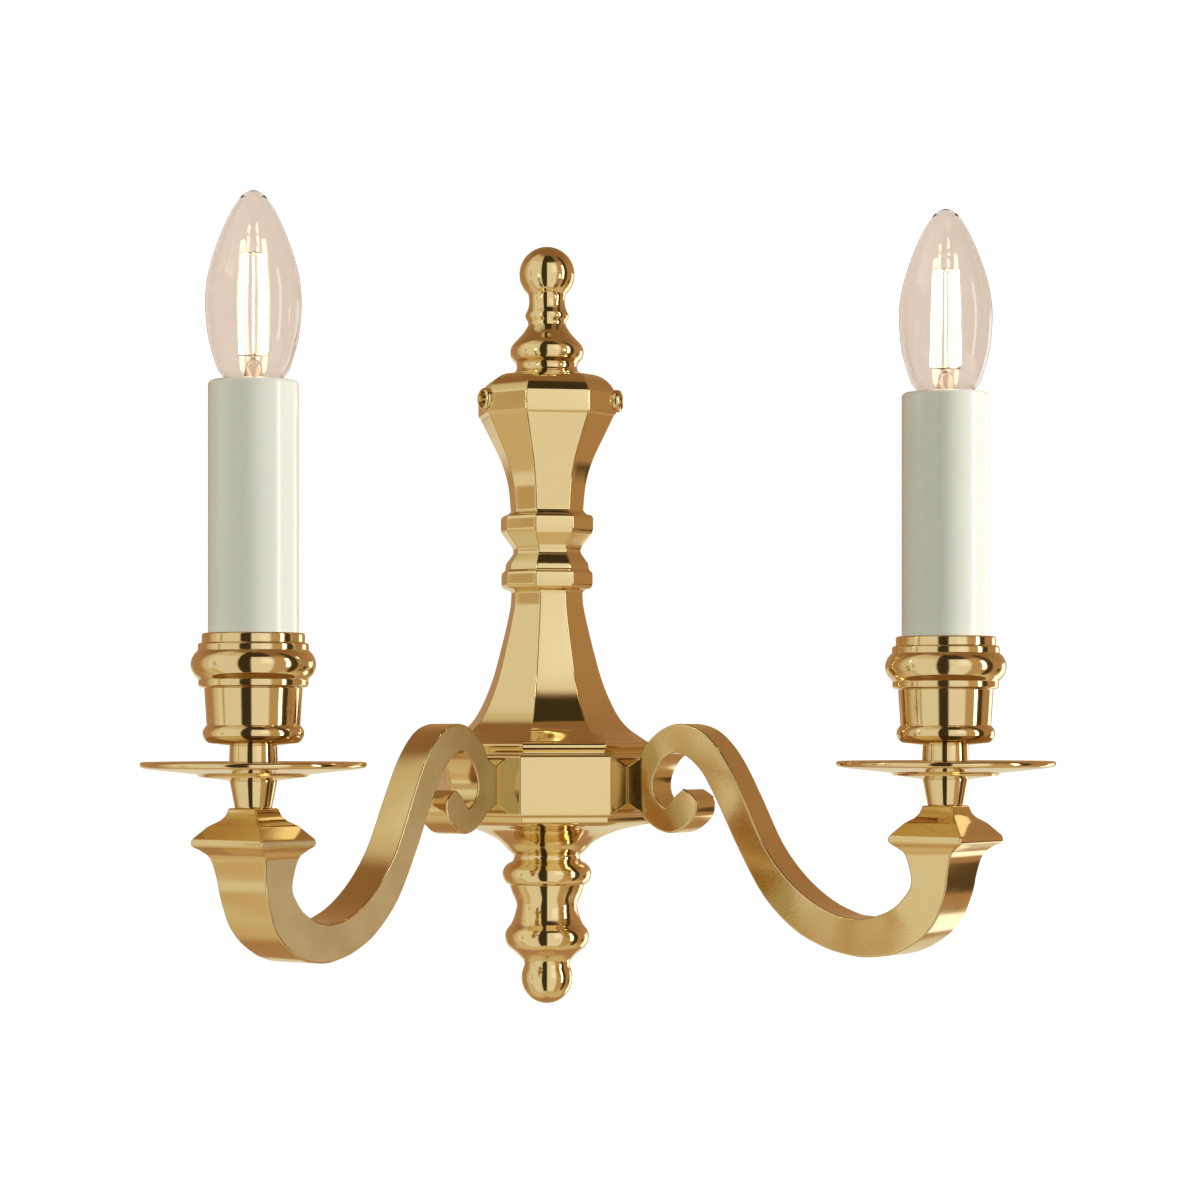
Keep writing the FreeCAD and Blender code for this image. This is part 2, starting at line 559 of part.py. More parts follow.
def lampholder():
    """Moulded candle lampholder, screwed on to the threaded tube. The lamp's cap goes in its top."""
    shell_outside = 7.9
    return turned(
        (NIPPLE_RADIUS, HOLDER_FOOT), (8.5, HOLDER_FOOT), (8.5, -64.0), (12.0, -60.0), (12.8, -58.0),
        (12.8, HOLDER_TOP - 1.0), (12.2, HOLDER_TOP), (shell_outside, HOLDER_TOP), (shell_outside, -41.0),
        (NIPPLE_BORE, -41.0), (NIPPLE_BORE, NIPPLE_TOP), (NIPPLE_RADIUS, NIPPLE_TOP), (NIPPLE_RADIUS, HOLDER_FOOT))


def holder_shell():
    """Screw shell of the lampholder, with its rolled thread."""
    inner = 7.2
    outer = 7.9
    pitch = 2.8
    steps = [(outer, -40.0), (outer, HOLDER_TOP - 1.5), (inner + 0.3, HOLDER_TOP - 1.5)]
    height = HOLDER_TOP - 2.2
    while height > -38.0:
        steps.append(("arc", (inner, height - pitch / 4), (inner + 0.3, height - pitch / 2)))
        steps.append((inner + 0.3, height - pitch))
        height -= pitch
    steps += [(inner + 0.3, -40.0), (outer, -40.0)]
    return turned((outer, -40.0), *steps[1:])


def holder_contact():
    """Sprung centre contact in the floor of the lampholder."""
    leaf = box((-2.2, -1.5, -37.0), (2.2, 1.5, -36.3))
    foot = box((-2.2, -1.5, -41.0), (-1.5, 1.5, -36.3))
    return leaf.fuse(foot).fuse(box((-7.0, -1.5, -41.0), (-1.5, 1.5, -40.3))).removeSplitter()


def candle_sleeve():
    """Moulded candle tube that stands in the cup and hides the lampholder."""
    inside = SLEEVE_RADIUS - 1.6
    foot = CUP_FLOOR + 0.2
    mouth = 13.0
    return turned(
        (inside, foot), (SLEEVE_RADIUS, foot), (SLEEVE_RADIUS, SLEEVE_TOP - 1.6),
        ("arc", (SLEEVE_RADIUS - 0.47, SLEEVE_TOP - 0.47), (SLEEVE_RADIUS - 1.6, SLEEVE_TOP)), (mouth, SLEEVE_TOP),
        (mouth, SLEEVE_TOP - 1.6), (inside, SLEEVE_TOP - 1.6), (inside, foot))


# ---- lamp: clear candle lamp with filaments ----------------------------------------------------
def lamp_outline(wall):
    """Outside of the glass less this wall, from its foot up to its tip, as (radius, height)."""
    return [(12.3 - wall, -3.8), (14.2 - wall, 0.7), (16.6 - wall, 10.0), (LAMP_RADIUS - wall, 21.0),
            (17.0 - wall, 29.0), (15.2 - wall, 37.0), (11.9 - wall, 46.5), (8.2 - wall, 54.5), (4.9 - wall, 59.6)]


def lamp_glass():
    """Blown glass envelope, open at its foot where it is cemented in the cap."""
    wall = 0.8
    outer = [("curve",) + tuple(lamp_outline(0)) + ((0.9, LAMP_TIP - 0.25),), (0, LAMP_TIP)]
    inner = [("curve",) + tuple(lamp_outline(wall)[::-1]) + ((6.4 - wall, LAMP_CAP_TOP),)]
    return turned((6.4, LAMP_CAP_TOP), *outer, (0, LAMP_TIP - 1.4), (0.5, LAMP_TIP - 1.6), *inner,
                  (6.4, LAMP_CAP_TOP))


def lamp_cap():
    """Small screw cap, rolled from thin metal, with its thread."""
    root = 6.35
    crest = 6.85
    pitch = 2.8
    height = -11.6
    steps = [(6.8, -10.9), (root, height)]
    while height > -29.5:
        steps.append(("arc", (crest, height - pitch / 2), (root, height - pitch)))
        height -= pitch
    steps += [(root, height - 0.4), (4.6, -32.0), (0, -32.0), (0, LAMP_CAP_TOP)]
    return turned((0, LAMP_CAP_TOP), (6.4, LAMP_CAP_TOP), *steps)


def lamp_contact():
    """Black glass insulator and the solder tip below it."""
    return turned((0, -32.0), (4.6, -32.0), (3.2, -34.3), (1.9, -34.3), dome(1.9, -34.3, LAMP_FOOT),
                  (0, -32.0))


STEM_TOP = 1.5


def lamp_stem():
    """Glass stem that carries the filaments, flared at its foot."""
    return turned((0, LAMP_CAP_TOP), (5.0, LAMP_CAP_TOP), ("curve", (3.9, -7.0), (3.2, -3.0), (2.6, STEM_TOP - 2)),
                  dome(2.6, STEM_TOP - 2, STEM_TOP), (0, LAMP_CAP_TOP))


FILAMENT_LOW = 3.5
FILAMENT_HIGH = 39.0
FILAMENT_CIRCLE = 5.6
FILAMENT_RADIUS = 1.0


def lamp_filaments():
    """Four filament rods round the stem, leaning in slightly at the top."""
    rods = []
    for quarter in range(4):
        angle = math.radians(45 + 90 * quarter)
        low = (FILAMENT_CIRCLE * math.cos(angle), FILAMENT_CIRCLE * math.sin(angle), FILAMENT_LOW)
        high = (0.8 * low[0], 0.8 * low[1], FILAMENT_HIGH)
        rods.append(rod(FILAMENT_RADIUS, low, high))
    return Part.makeCompound(rods)


def filament_wires():
    """Support wires: a mast on the stem and a spider at each end of the filaments."""
    frame = rod(0.45, (0, 0, STEM_TOP), (0, 0, FILAMENT_HIGH + 0.8))
    for quarter in range(4):
        angle = math.radians(45 + 90 * quarter)
        for height, reach in ((FILAMENT_LOW - 0.8, 1.0), (FILAMENT_HIGH + 0.4, 0.8)):
            tip = (reach * FILAMENT_CIRCLE * math.cos(angle), reach * FILAMENT_CIRCLE * math.sin(angle), height)
            frame = frame.fuse(rod(0.4, (0, 0, height), tip))
    return frame.removeSplitter()


# ---- inner wires -------------------------------------------------------------------------------
def inner_wire(side):
    """Twin lead from the terminal block through the arm's nipple and channel up to the lampholder."""
    pole = side * 10.0
    turn = math.radians(ARM_ANGLE)
    points = [(pole, -7.5, -147.0), (pole, -8.5, -151.5)]
    for reach, height in [(24.0, PAD_HEIGHT)] + ARM_ROUTE[-2:0:-1] + [(ARM_REACH, -168.0), (ARM_REACH, NIPPLE_TOP + 2)]:
        points.append((side * reach * math.sin(turn), -WALL_GAP - reach * math.cos(turn), height))
    return pipe(WIRE_RADIUS, points)


# ---- all the pieces ----------------------------------------------------------------------------
def build():
    nodes = {
        "body_casting": body_casting(),
        "top_finial": top_finial(),
        "bottom_finial": bottom_finial(),
        "wall_strap": wall_strap(),
        "strap_yoke": strap_yoke(),
        "side_screws": side_screws(),
    }
    nodes.update(finial_fixings())
    nodes.update(terminal_parts())
    arm_pieces = {"arm": arm(), "arm_nipple": arm_nipple(), "arm_nut": arm_nut()}
    candle_pieces = {
        "lower_neck": lower_neck(),
        "drip_pan": drip_pan(),
        "upper_neck": upper_neck(),
        "candle_cup": candle_cup(),
        "candle_nipple": candle_nipple(),
        "cup_nut": moved(hexagon_nut(14, NIPPLE_RADIUS, 0, 4.0), z=CUP_FLOOR),
        "lampholder": lampholder(),
        "holder_shell": holder_shell(),
        "holder_contact": holder_contact(),
        "candle_sleeve": candle_sleeve(),
        "lamp_glass": lamp_glass(),
        "lamp_cap": lamp_cap(),
        "lamp_contact": lamp_contact(),
        "lamp_stem": lamp_stem(),
        "lamp_filaments": lamp_filaments(),
        "filament_wires": filament_wires(),
    }
    for side, name in ((-1, "left"), (1, "right")):
        for piece, shape in arm_pieces.items():
            nodes[name + "_" + piece] = on_axis(along_arm(shape, side, 0))
        for piece, shape in candle_pieces.items():
            nodes[name + "_" + piece] = on_axis(along_arm(shape, side))
        nodes[name + "_inner_wire"] = inner_wire(side)
    return nodes


os.makedirs("parts", exist_ok=True)
for node, solid in build().items():
    solid.exportStep(os.path.join("parts", node + ".step"))
    print("%-24s %3d solid(s) valid %s volume %10.1f mm3" % (node, len(solid.Solids), solid.isValid(), solid.Volume))
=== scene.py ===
import math

import bmesh
import bpy
import mathutils
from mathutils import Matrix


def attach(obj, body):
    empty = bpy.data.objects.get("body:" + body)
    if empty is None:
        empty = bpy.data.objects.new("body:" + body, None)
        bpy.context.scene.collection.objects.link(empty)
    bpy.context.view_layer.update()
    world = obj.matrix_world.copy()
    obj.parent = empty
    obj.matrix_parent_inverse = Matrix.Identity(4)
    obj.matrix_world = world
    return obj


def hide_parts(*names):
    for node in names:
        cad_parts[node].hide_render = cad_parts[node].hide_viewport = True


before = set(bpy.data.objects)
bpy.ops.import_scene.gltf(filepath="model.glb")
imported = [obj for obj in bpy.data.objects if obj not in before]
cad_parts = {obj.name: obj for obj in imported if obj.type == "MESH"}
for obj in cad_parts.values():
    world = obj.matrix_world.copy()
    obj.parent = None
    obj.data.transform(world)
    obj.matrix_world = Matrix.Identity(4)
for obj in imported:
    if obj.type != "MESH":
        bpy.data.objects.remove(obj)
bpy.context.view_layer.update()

# Double arm wall sconce. Real sizes below are in millimetres, and MM turns them into the scene's
# metres. The wall is Y = 0, the sconce stands out towards -Y, and Z is up.
MM = 0.001

# ---- The view ------------------------------------------------------------------------------------
# The photograph was taken level with the bottom of the candle sleeves, from a little to the left of
# straight on. The shift slides the picture's middle to where the photograph has it.
VIEW_TURN = math.radians(-9.6)
VIEW_DISTANCE = 1362
VIEW_HEIGHT = -133.7
BODY_AXIS_Y = -20

bpy.ops.object.camera_add(
    location=(
        VIEW_DISTANCE * math.sin(VIEW_TURN) * MM,
        (BODY_AXIS_Y - VIEW_DISTANCE * math.cos(VIEW_TURN)) * MM,
        VIEW_HEIGHT * MM,
    ),
    rotation=(math.radians(90), 0, VIEW_TURN),
)
camera = bpy.context.object
camera.data.sensor_width = 36
camera.data.lens = 100.3
camera.data.shift_x = 0.0442
camera.data.shift_y = 0.1092
camera.data.clip_start = 0.05
bpy.context.scene.camera = camera
bpy.context.scene.view_settings.view_transform = "Standard"


# ---- The studio ----------------------------------------------------------------------------------
# A round, pale sweep makes floor and background. Three large soft boxes light the ivory and the
# sweep. The polished metal mirrors neither: it mirrors the screens and dark gaps of a photographer's
# studio, which are drawn in the world.
def linear(hex_colour):
    """sRGB hex colour as the linear RGBA that a shader socket takes."""
    channels = [int(hex_colour[i:i + 2], 16) / 255 for i in (1, 3, 5)]
    return [c / 12.92 if c <= 0.04045 else ((c + 0.055) / 1.055) ** 2.4 for c in channels] + [1.0]


def add_node(tree, kind, inputs=None, **settings):
    """Add a node. settings are its own properties, and inputs gives a socket, by its name or its
    number, a value or a link."""
    node = tree.nodes.new(kind)
    for name, value in settings.items():
        setattr(node, name, value)
    for name, value in (inputs or {}).items():
        if isinstance(value, bpy.types.NodeSocket):
            tree.links.new(value, node.inputs[name])
        else:
            node.inputs[name].default_value = value
    return node


def new_material(name, **sockets):
    """Material with one principled shader. sockets are its constant values, with _ for a space."""
    made = bpy.data.materials.new(name)
    made.use_nodes = True
    shader = made.node_tree.nodes["Principled BSDF"]
    for socket, value in sockets.items():
        shader.inputs[socket.replace("_", " ")].default_value = value
    return made, made.node_tree, shader


def only(*objects):
    """Select these objects and nothing else."""
    bpy.ops.object.select_all(action="DESELECT")
    for item in objects:
        item.select_set(True)
    bpy.context.view_layer.objects.active = objects[0]


LIGHT_AIM_Y = BODY_AXIS_Y - 50
LIGHT_AIM_Z = -90
LIGHT_DISTANCE = 1700


def soft_box(name, turn, height, width, tall, radiance, colour):
    """Rectangular area light that faces the sconce, turned round it by this many degrees from
    straight out of the wall. Mirrors, glass and the camera don't see it."""
    angle = math.radians(turn)
    place = (
        LIGHT_DISTANCE * math.sin(angle) * MM,
        (LIGHT_AIM_Y - LIGHT_DISTANCE * math.cos(angle)) * MM,
        (LIGHT_AIM_Z + height) * MM,
    )
    tilt = math.atan2(height, LIGHT_DISTANCE)
    bpy.ops.object.light_add(type="AREA", location=place, rotation=(math.radians(90) - tilt, 0, angle))
    box = bpy.context.object
    box.name = name
    box.data.shape = "RECTANGLE"
    box.data.size = width * MM
    box.data.size_y = tall * MM
    box.data.energy = radiance * math.pi * (width * MM) * (tall * MM)
    box.data.color = linear(colour)[:3]
    box.visible_glossy = False
    box.visible_transmission = False
    box.visible_camera = False


soft_box("right_key", turn=66, height=250, width=1100, tall=1800, radiance=8.2, colour="#FFFDFA")
soft_box("left_fill", turn=-58, height=100, width=2600, tall=2400, radiance=1.8, colour="#F6F6E9")
soft_box("back_fill", turn=180, height=150, width=1800, tall=1500, radiance=0.8, colour="#FFFFFF")

FLOOR_HEIGHT = -420
SWEEP_RADIUS = 3200
SWEEP_TALL = 3600
SWEEP_BEND = 900
bpy.ops.object.select_all(action="DESELECT")
bpy.ops.mesh.primitive_cylinder_add(
    vertices=128, radius=SWEEP_RADIUS * MM, depth=SWEEP_TALL * MM,
    location=(0, 0, (FLOOR_HEIGHT + SWEEP_TALL / 2) * MM))
sweep = bpy.context.object
sweep.name = "studio_sweep"
bpy.ops.object.transform_apply(location=True, rotation=True, scale=True)
bpy.ops.object.modifier_add(type="BEVEL")
curve_up = sweep.modifiers["Bevel"]
curve_up.width = SWEEP_BEND * MM
curve_up.segments = 16
curve_up.limit_method = "ANGLE"
curve_up.angle_limit = math.radians(60)
bpy.ops.object.modifier_apply(modifier=curve_up.name)
only(sweep)
bpy.ops.object.shade_smooth()
# Matt painted studio sweep: almost white, and it glows, so that it stays an even white. The paint
# roller left a faint relief.
paper, paper_tree, paper_shader = new_material(
    "matt_white_sweep", Base_Color=linear("#FBFAF8"), Roughness=0.95, Emission_Color=linear("#FFFFFF"),
    Emission_Strength=0.93)
paper_grain = add_node(paper_tree, "ShaderNodeTexNoise", {"Scale": 35.0, "Detail": 3.0})
paper_relief = add_node(
    paper_tree, "ShaderNodeBump", {"Height": paper_grain.outputs["Fac"], "Strength": 0.02})
paper_tree.links.new(paper_relief.outputs["Normal"], paper_shader.inputs["Normal"])
sweep.data.materials.append(paper)
sweep.visible_glossy = False
sweep.visible_diffuse = False

# What the polished metal mirrors: a dim warm room, a large white screen on each side of the camera,
# dark gaps between and above them, and a pale floor. Angles are in degrees, counted from the
# camera's side to the right, and from the horizon up.
studio = bpy.data.worlds.new("studio")
studio.use_nodes = True
bpy.context.scene.world = studio
sky = studio.node_tree
direction = add_node(sky, "ShaderNodeTexCoord").outputs["Generated"]
from_camera_side = add_node(
    sky, "ShaderNodeVectorRotate", {"Vector": direction, "Angle": -VIEW_TURN}, rotation_type="Z_AXIS")
facing = add_node(sky, "ShaderNodeSeparateXYZ", {"Vector": from_camera_side.outputs["Vector"]})
forward = add_node(sky, "ShaderNodeMath", {0: facing.outputs["Y"], 1: -1.0}, operation="MULTIPLY")
sideways = add_node(
    sky, "ShaderNodeMath", {0: facing.outputs["X"], 1: forward.outputs["Value"]}, operation="ARCTAN2")
upwards = add_node(sky, "ShaderNodeMath", {0: facing.outputs["Z"]}, operation="ARCSINE")
round_about, up = [
    add_node(sky, "ShaderNodeMath", {0: angle.outputs["Value"]}, operation="DEGREES").outputs["Value"]
    for angle in (sideways, upwards)]


def patch(left, right, low, high, soft=3.0):
    """Mask that is 1 between these angles, and fades over this many degrees to both sides of each
    edge."""
    mask = 1.0
    for angle, edge, before, after in ((round_about, left, 0.0, 1.0), (round_about, right, 1.0, 0.0),
                                       (up, low, 0.0, 1.0), (up, high, 1.0, 0.0)):
        fade = add_node(sky, "ShaderNodeMapRange", {
            "Value": angle, "From Min": edge - soft, "From Max": edge + soft, "To Min": before,
            "To Max": after}, interpolation_type="SMOOTHSTEP")
        both = add_node(sky, "ShaderNodeMath", {0: fade.outputs["Result"], 1: mask}, operation="MULTIPLY")
        mask = both.outputs["Value"]
    return mask


def evenly(level):
    """Neutral light of this strength, which may be past white."""
    return [level, level, level, 1.0]


seen = linear("#B99169")
for mask, radiance in (
        # The ceiling, all round and from 34 degrees up, and the pale floor in front.
        (patch(-400, 400, 34, 200, 26), linear("#96704A")),
        (patch(-135, 135, -100, -34, 12), linear("#DCC6A0")),
        # The pale floor behind the sconce, as two strips that meet at 180 degrees.
        (patch(150, 190, -26, -2, 2), linear("#E6D9BC")),
        (patch(-190, -150, -26, -2, 2), linear("#E6D9BC")),
        # The left screen with its soft edge, the join in it and the shade on its lower part.
        (patch(-104, -20, -66, 70, 10), linear("#DFD2B4")),
        (patch(-88, -24, -60, 46, 5), linear("#EFE9DA")),
        (patch(-73.5, -68.5, -9, 12, 1.5), linear("#C8AC80")),
        (patch(-88, -72, -62, -20, 3), linear("#DAC49E")),
        # The right screen, its dim outer part, and its brighter middle.
        (patch(0, 44, -58, 43, 3), linear("#F8F1E4")),
        (patch(44, 70, -58, 43, 5), linear("#C8A87C")),
        (patch(20, 42, 2, 34, 7), evenly(1.12)),
        # Dark gaps: between the screens, above the right one and beyond it.
        (patch(-24, 0, -58, 80, 2), linear("#423826")),
        (patch(-24, 44, 44, 76, 3), linear("#423826")),
        (patch(79, 95, -42, 60, 3), linear("#4C3E28")),
        # Far to the right: a bright panel, and a dark one low down beside it.
        (patch(128, 150, -30, 7, 2), evenly(1.6)),
        (patch(112, 121, -17, -7, 1.5), linear("#5C4B32")),
        # A narrow strip lamp between the right screen and the last gap, for sharp highlights.
        (patch(69, 76, -16, 28, 1.5), evenly(6.0))):
    blend = add_node(sky, "ShaderNodeMix", {"Factor": mask, "A": seen, "B": radiance}, data_type="RGBA")
    seen = blend.outputs["Result"]
sky.links.new(seen, sky.nodes["Background"].inputs["Color"])
# The drawn studio is for mirrors and glass. Matt parts are lit by the soft boxes alone.
studio.cycles_visibility.diffuse = False


# ---- Body casting --------------------------------------------------------------------------------
# Hollow sand-cast brass, milled and polished: an octagon all the way down, with narrow diagonal
# sides at the head and a foot that turns round. It is flat at the wall, where its two cavities and
# a channel for the strap are open.
def between(first, second, share):
    """Point that lies this share of the way from the first to the second."""
    return tuple(a + (b - a) * share for a, b in zip(first, second))


def smooth_run(points, steps=5):
    """Points of a smooth curve through these points, with this many steps from each to the next."""
    ends = [between(points[1], points[0], 2)] + list(points) + [between(points[-2], points[-1], 2)]
    run = []
    for before, start, end, after in zip(ends, ends[1:], ends[2:], ends[3:]):
        for step in range(steps):
            t = step / steps
            run.append(tuple(
                0.5 * (2 * b + (c - a) * t + (2 * a - 5 * b + 4 * c - d) * t ** 2
                       + (3 * b - a - 3 * c + d) * t ** 3)
                for a, b, c, d in zip(before, start, end, after)))
    return run + [tuple(points[-1])]


def round_run(start, through, end, steps=6):
    """Points of the arc of a circle from start through a middle point to end."""
    (ax, ay), (bx, by), (cx, cy) = start, through, end
    twice = 2 * (ax * (by - cy) + bx * (cy - ay) + cx * (ay - by))
    a2, b2, c2 = ax * ax + ay * ay, bx * bx + by * by, cx * cx + cy * cy
    mx = (a2 * (by - cy) + b2 * (cy - ay) + c2 * (ay - by)) / twice
    my = (a2 * (cx - bx) + b2 * (ax - cx) + c2 * (bx - ax)) / twice
    first, mid, last = (math.atan2(y - my, x - mx) for x, y in (start, through, end))
    turn = (last - first) % math.tau
    if (mid - first) % math.tau > turn:
        turn -= math.tau
    radius = math.hypot(ax - mx, ay - my)
    angles = [first + turn * i / steps for i in range(steps + 1)]
    return [(mx + radius * math.cos(angle), my + radius * math.sin(angle)) for angle in angles]


def set_ring(mesh, points):
    """Move the selected ring's corners, in their own order, to these points in millimetres."""
    chosen = [corner for corner in mesh.verts if corner.select]
    chosen.sort(key=lambda corner: corner.index)
    for corner, point in zip(chosen, points):
        corner.co = [value * MM for value in point]


def extruded_rings(name, rings):
    """Closed solid made by extruding one end face from ring to ring."""
    bpy.ops.object.select_all(action="DESELECT")
    bpy.ops.mesh.primitive_circle_add(vertices=len(rings[0]), radius=0.001, fill_type="NGON")
    made = bpy.context.object
    made.name = name
    bpy.ops.object.mode_set(mode="EDIT")
    bpy.ops.mesh.select_all(action="SELECT")
    mesh = bmesh.from_edit_mesh(made.data)
    mesh.verts.index_update()
    set_ring(mesh, rings[0])
    bmesh.update_edit_mesh(made.data)
    for ring in rings[1:]:
        bpy.ops.mesh.extrude_region_move(TRANSFORM_OT_translate={"value": (0, 0, 0)})
        mesh = bmesh.from_edit_mesh(made.data)
        mesh.verts.index_update()
        set_ring(mesh, ring)
        bmesh.update_edit_mesh(made.data)
    bpy.ops.mesh.select_all(action="SELECT")
    bpy.ops.mesh.normals_make_consistent(inside=False)
    bpy.ops.object.mode_set(mode="OBJECT")
    return made


def apply_modifier(piece, kind, **settings):
    """Add a modifier with these settings, and apply it at once."""
    only(piece)
    bpy.ops.object.modifier_add(type=kind)
    modifier = piece.modifiers[-1]
    for name, value in settings.items():
        setattr(modifier, name, value)
    bpy.ops.object.modifier_apply(modifier=modifier.name)


def combine(piece, other, operation):
    """Boolean of two pieces. The second one is used up."""
    apply_modifier(piece, "BOOLEAN", operation=operation, object=other, solver="EXACT")
    bpy.data.objects.remove(other)


def block(name, low, high):
    """Box between two corners in millimetres."""
    bpy.ops.object.select_all(action="DESELECT")
    bpy.ops.mesh.primitive_cube_add(size=1)
    made = bpy.context.object
    made.name = name
    made.scale = [(b - a) * MM for a, b in zip(low, high)]
    made.location = [(b + a) / 2 * MM for a, b in zip(low, high)]
    bpy.ops.object.transform_apply(location=True, rotation=True, scale=True)
    return made


def round_edges(piece, width, angle=28, segments=3):
    """Round the sharp edges as polishing does."""
    apply_modifier(piece, "BEVEL", width=width * MM, segments=segments, limit_method="ANGLE",
                   angle_limit=math.radians(angle), use_clamp_overlap=False, miter_outer="MITER_ARC")


def even_shading(piece):
    """Smooth shading that keeps the flats flat and the sharp edges sharp."""
    only(piece)
    bpy.ops.object.shade_smooth_by_angle(angle=math.radians(38))
    apply_modifier(piece, "WEIGHTED_NORMAL", keep_sharp=True, weight=50)


def turned_piece(name, outline, closed=False, steps=96):
    """Solid turned about Z. The outline of (radius, height) in millimetres runs from the axis back
    to the axis, or round a bore if it is closed."""
    bpy.ops.object.select_all(action="DESELECT")
    bpy.ops.mesh.primitive_plane_add(size=0.001)
    made = bpy.context.object
    made.name = name
    bpy.ops.object.mode_set(mode="EDIT")
    bpy.ops.mesh.select_all(action="SELECT")
    bpy.ops.mesh.merge(type="CENTER")
    bpy.ops.transform.translate(value=(outline[0][0] * MM, 0, outline[0][1] * MM))
    route = outline + outline[:1] if closed else outline
    for (r0, z0), (r1, z1) in zip(route, route[1:]):
        bpy.ops.mesh.extrude_vertices_move(
            TRANSFORM_OT_translate={"value": ((r1 - r0) * MM, 0, (z1 - z0) * MM)})
    bpy.ops.mesh.select_all(action="SELECT")
    bpy.ops.mesh.spin(steps=steps, angle=math.tau, center=(0, 0, 0), axis=(0, 0, 1))
    bpy.ops.mesh.select_all(action="SELECT")
    bpy.ops.mesh.remove_doubles(threshold=0.000002)
    bpy.ops.mesh.normals_make_consistent(inside=False)
    bpy.ops.object.mode_set(mode="OBJECT")
    return made


def placed(piece, x=0.0, y=0.0, turn=0.0, tip=0.0):
    """Tip a piece about Y, turn it about Z, move it in millimetres, and fix that in its mesh."""
    only(piece)
    piece.rotation_euler = (0, math.radians(tip), math.radians(turn))
    piece.location = (x * MM, y * MM, 0)
    bpy.ops.object.transform_apply(location=True, rotation=True, scale=True)
    return piece


SIDE_STEPS = 4


def octagon_ring(half, height, corner, round_limit=None):
    """Corners of an eight sided ring about the body's axis, with more of them along each side. corner
    is where each side ends, as a share of half. What reaches past round_limit is drawn in to it."""
    c = corner * half
    corners = [(c, -half), (half, -c), (half, c), (c, half),
               (-c, half), (-half, c), (-half, -c), (-c, -half)]
    ring = []
    for start, end in zip(corners, corners[1:] + corners[:1]):
        for step in range(SIDE_STEPS):
            x, y = between(start, end, step / SIDE_STEPS)
            reach = math.hypot(x, y)
            if round_limit and reach > round_limit:
                x, y = x * round_limit / reach, y * round_limit / reach
            ring.append((x, y + BODY_AXIS_Y, height))
    return ring


# Where each side of the octagon ends, as a share of its half width: the diagonal sides of the head
# are narrow, and those of the hub are as wide as the others.
HEAD_CORNER = 0.485
KNOP_CORNER = 0.43
BELL_CORNER = 0.37
REGULAR_CORNER = math.sqrt(2) - 1
REGULAR_CORNER_EXCESS = 0.082
HEAD_TOP = 11.2
HUB_TOP = -137.9
BODY_FOOT = -183.0
HUB_HALF = 44.0
CASTING_WALL = 4.0

# Outlines from the top down, as half width and height.
head = round_run((14.4, HEAD_TOP), (22.2, 8.7), (26.0, 3.2), 9)
head += [(26.4, 2.4), (26.4, -5.2), (25.4, -6.2)]
head += smooth_run([(25.2, -6.9), (21.9, -14.1), (17.6, -23.8), (15.0, -33.2), (13.9, -44.2)], 6)
knops = [(15.3, -45.6)] + round_run((16.9, -46.0), (17.7, -46.8), (17.9, -48.2), 3) + [(17.9, -51.4)]
knops += round_run((17.8, -52.0), (17.4, -53.3), (16.6, -54.4), 3)
knops += [(13.9, -58.2)] + round_run((13.4, -59.2), (13.0, -60.4), (13.6, -62.2), 3)
knops += [(15.9, -65.6), (16.3, -68.3), (17.5, -69.3), (17.7, -70.6), (17.7, -73.8)]
knops += round_run((17.6, -74.4), (17.1, -75.5), (16.0, -76.0), 3) + [(14.4, -76.6)]
bell = smooth_run([(13.9, -77.6), (14.6, -85.0), (17.7, -99.1), (21.6, -113.8), (26.4, -125.4),
                   (31.2, -132.2), (38.6, HUB_TOP)], 6)
hub = [(39.4, -138.0)] + round_run((40.0, -138.5), (40.7, -139.6), (40.0, -141.0), 4) + [(39.6, -142.6)]
hub += [(43.0, -142.9), (HUB_HALF, -144.0), (HUB_HALF, -166.6), (43.2, -167.5), (42.3, -167.8),
        (41.9, -169.9)]
foot = smooth_run([(39.0, -171.2), (30.4, -173.1), (23.6, -175.7), (18.4, -178.9), (14.9, BODY_FOOT)], 5)

rings = []
for stretch, corner in ((head, HEAD_CORNER), (knops, KNOP_CORNER), (bell, BELL_CORNER),
                        (hub, REGULAR_CORNER)):
    rings += [octagon_ring(half, height, corner) for half, height in stretch]
for half, height in foot:
    still_octagon = ((height - BODY_FOOT) / (foot[0][1] - BODY_FOOT)) ** 0.7
    rings.append(octagon_ring(
        half, height, REGULAR_CORNER, half * (1 + REGULAR_CORNER_EXCESS * still_octagon)))
body = extruded_rings("body_casting_polished", rings)

# Flat back at the wall, cavities for the bracket and the wiring, the channel for the strap, and a
# pocket round its upper wall screw.
combine(body, block("wall_side", (-90, 0, -300), (90, 90, 100)), "DIFFERENCE")
head_pocket = [(17.5, 6.6), (20.5, 2.0), (20.5, -5.0), (17.5, -14.0)]
wiring_space = smooth_run(
    [(13.4, -104.0), (17.2, -113.8), (22.0, -125.4), (27.0, -132.6), (34.4, -138.6)], 4)
wiring_space += [(HUB_HALF - CASTING_WALL, -143.8), (HUB_HALF - CASTING_WALL, -163.4)]
for hollow in (head_pocket, wiring_space):
    hollow_rings = [octagon_ring(half, height, REGULAR_CORNER) for half, height in hollow]
    combine(body, extruded_rings("hollow", hollow_rings), "DIFFERENCE")
yoke_space = ((-16, -24, -14), (16, 1, 6.6))
strap_channel = ((-8.2, -6.4, -155), (8.2, 1, 6.5))
wall_screw_pocket = ((-8.1, -14, -33), (8.1, 1, -13))
for low, high in (yoke_space, strap_channel, wall_screw_pocket):
    combine(body, block("channel", low, high), "DIFFERENCE")
round_edges(body, 0.45)
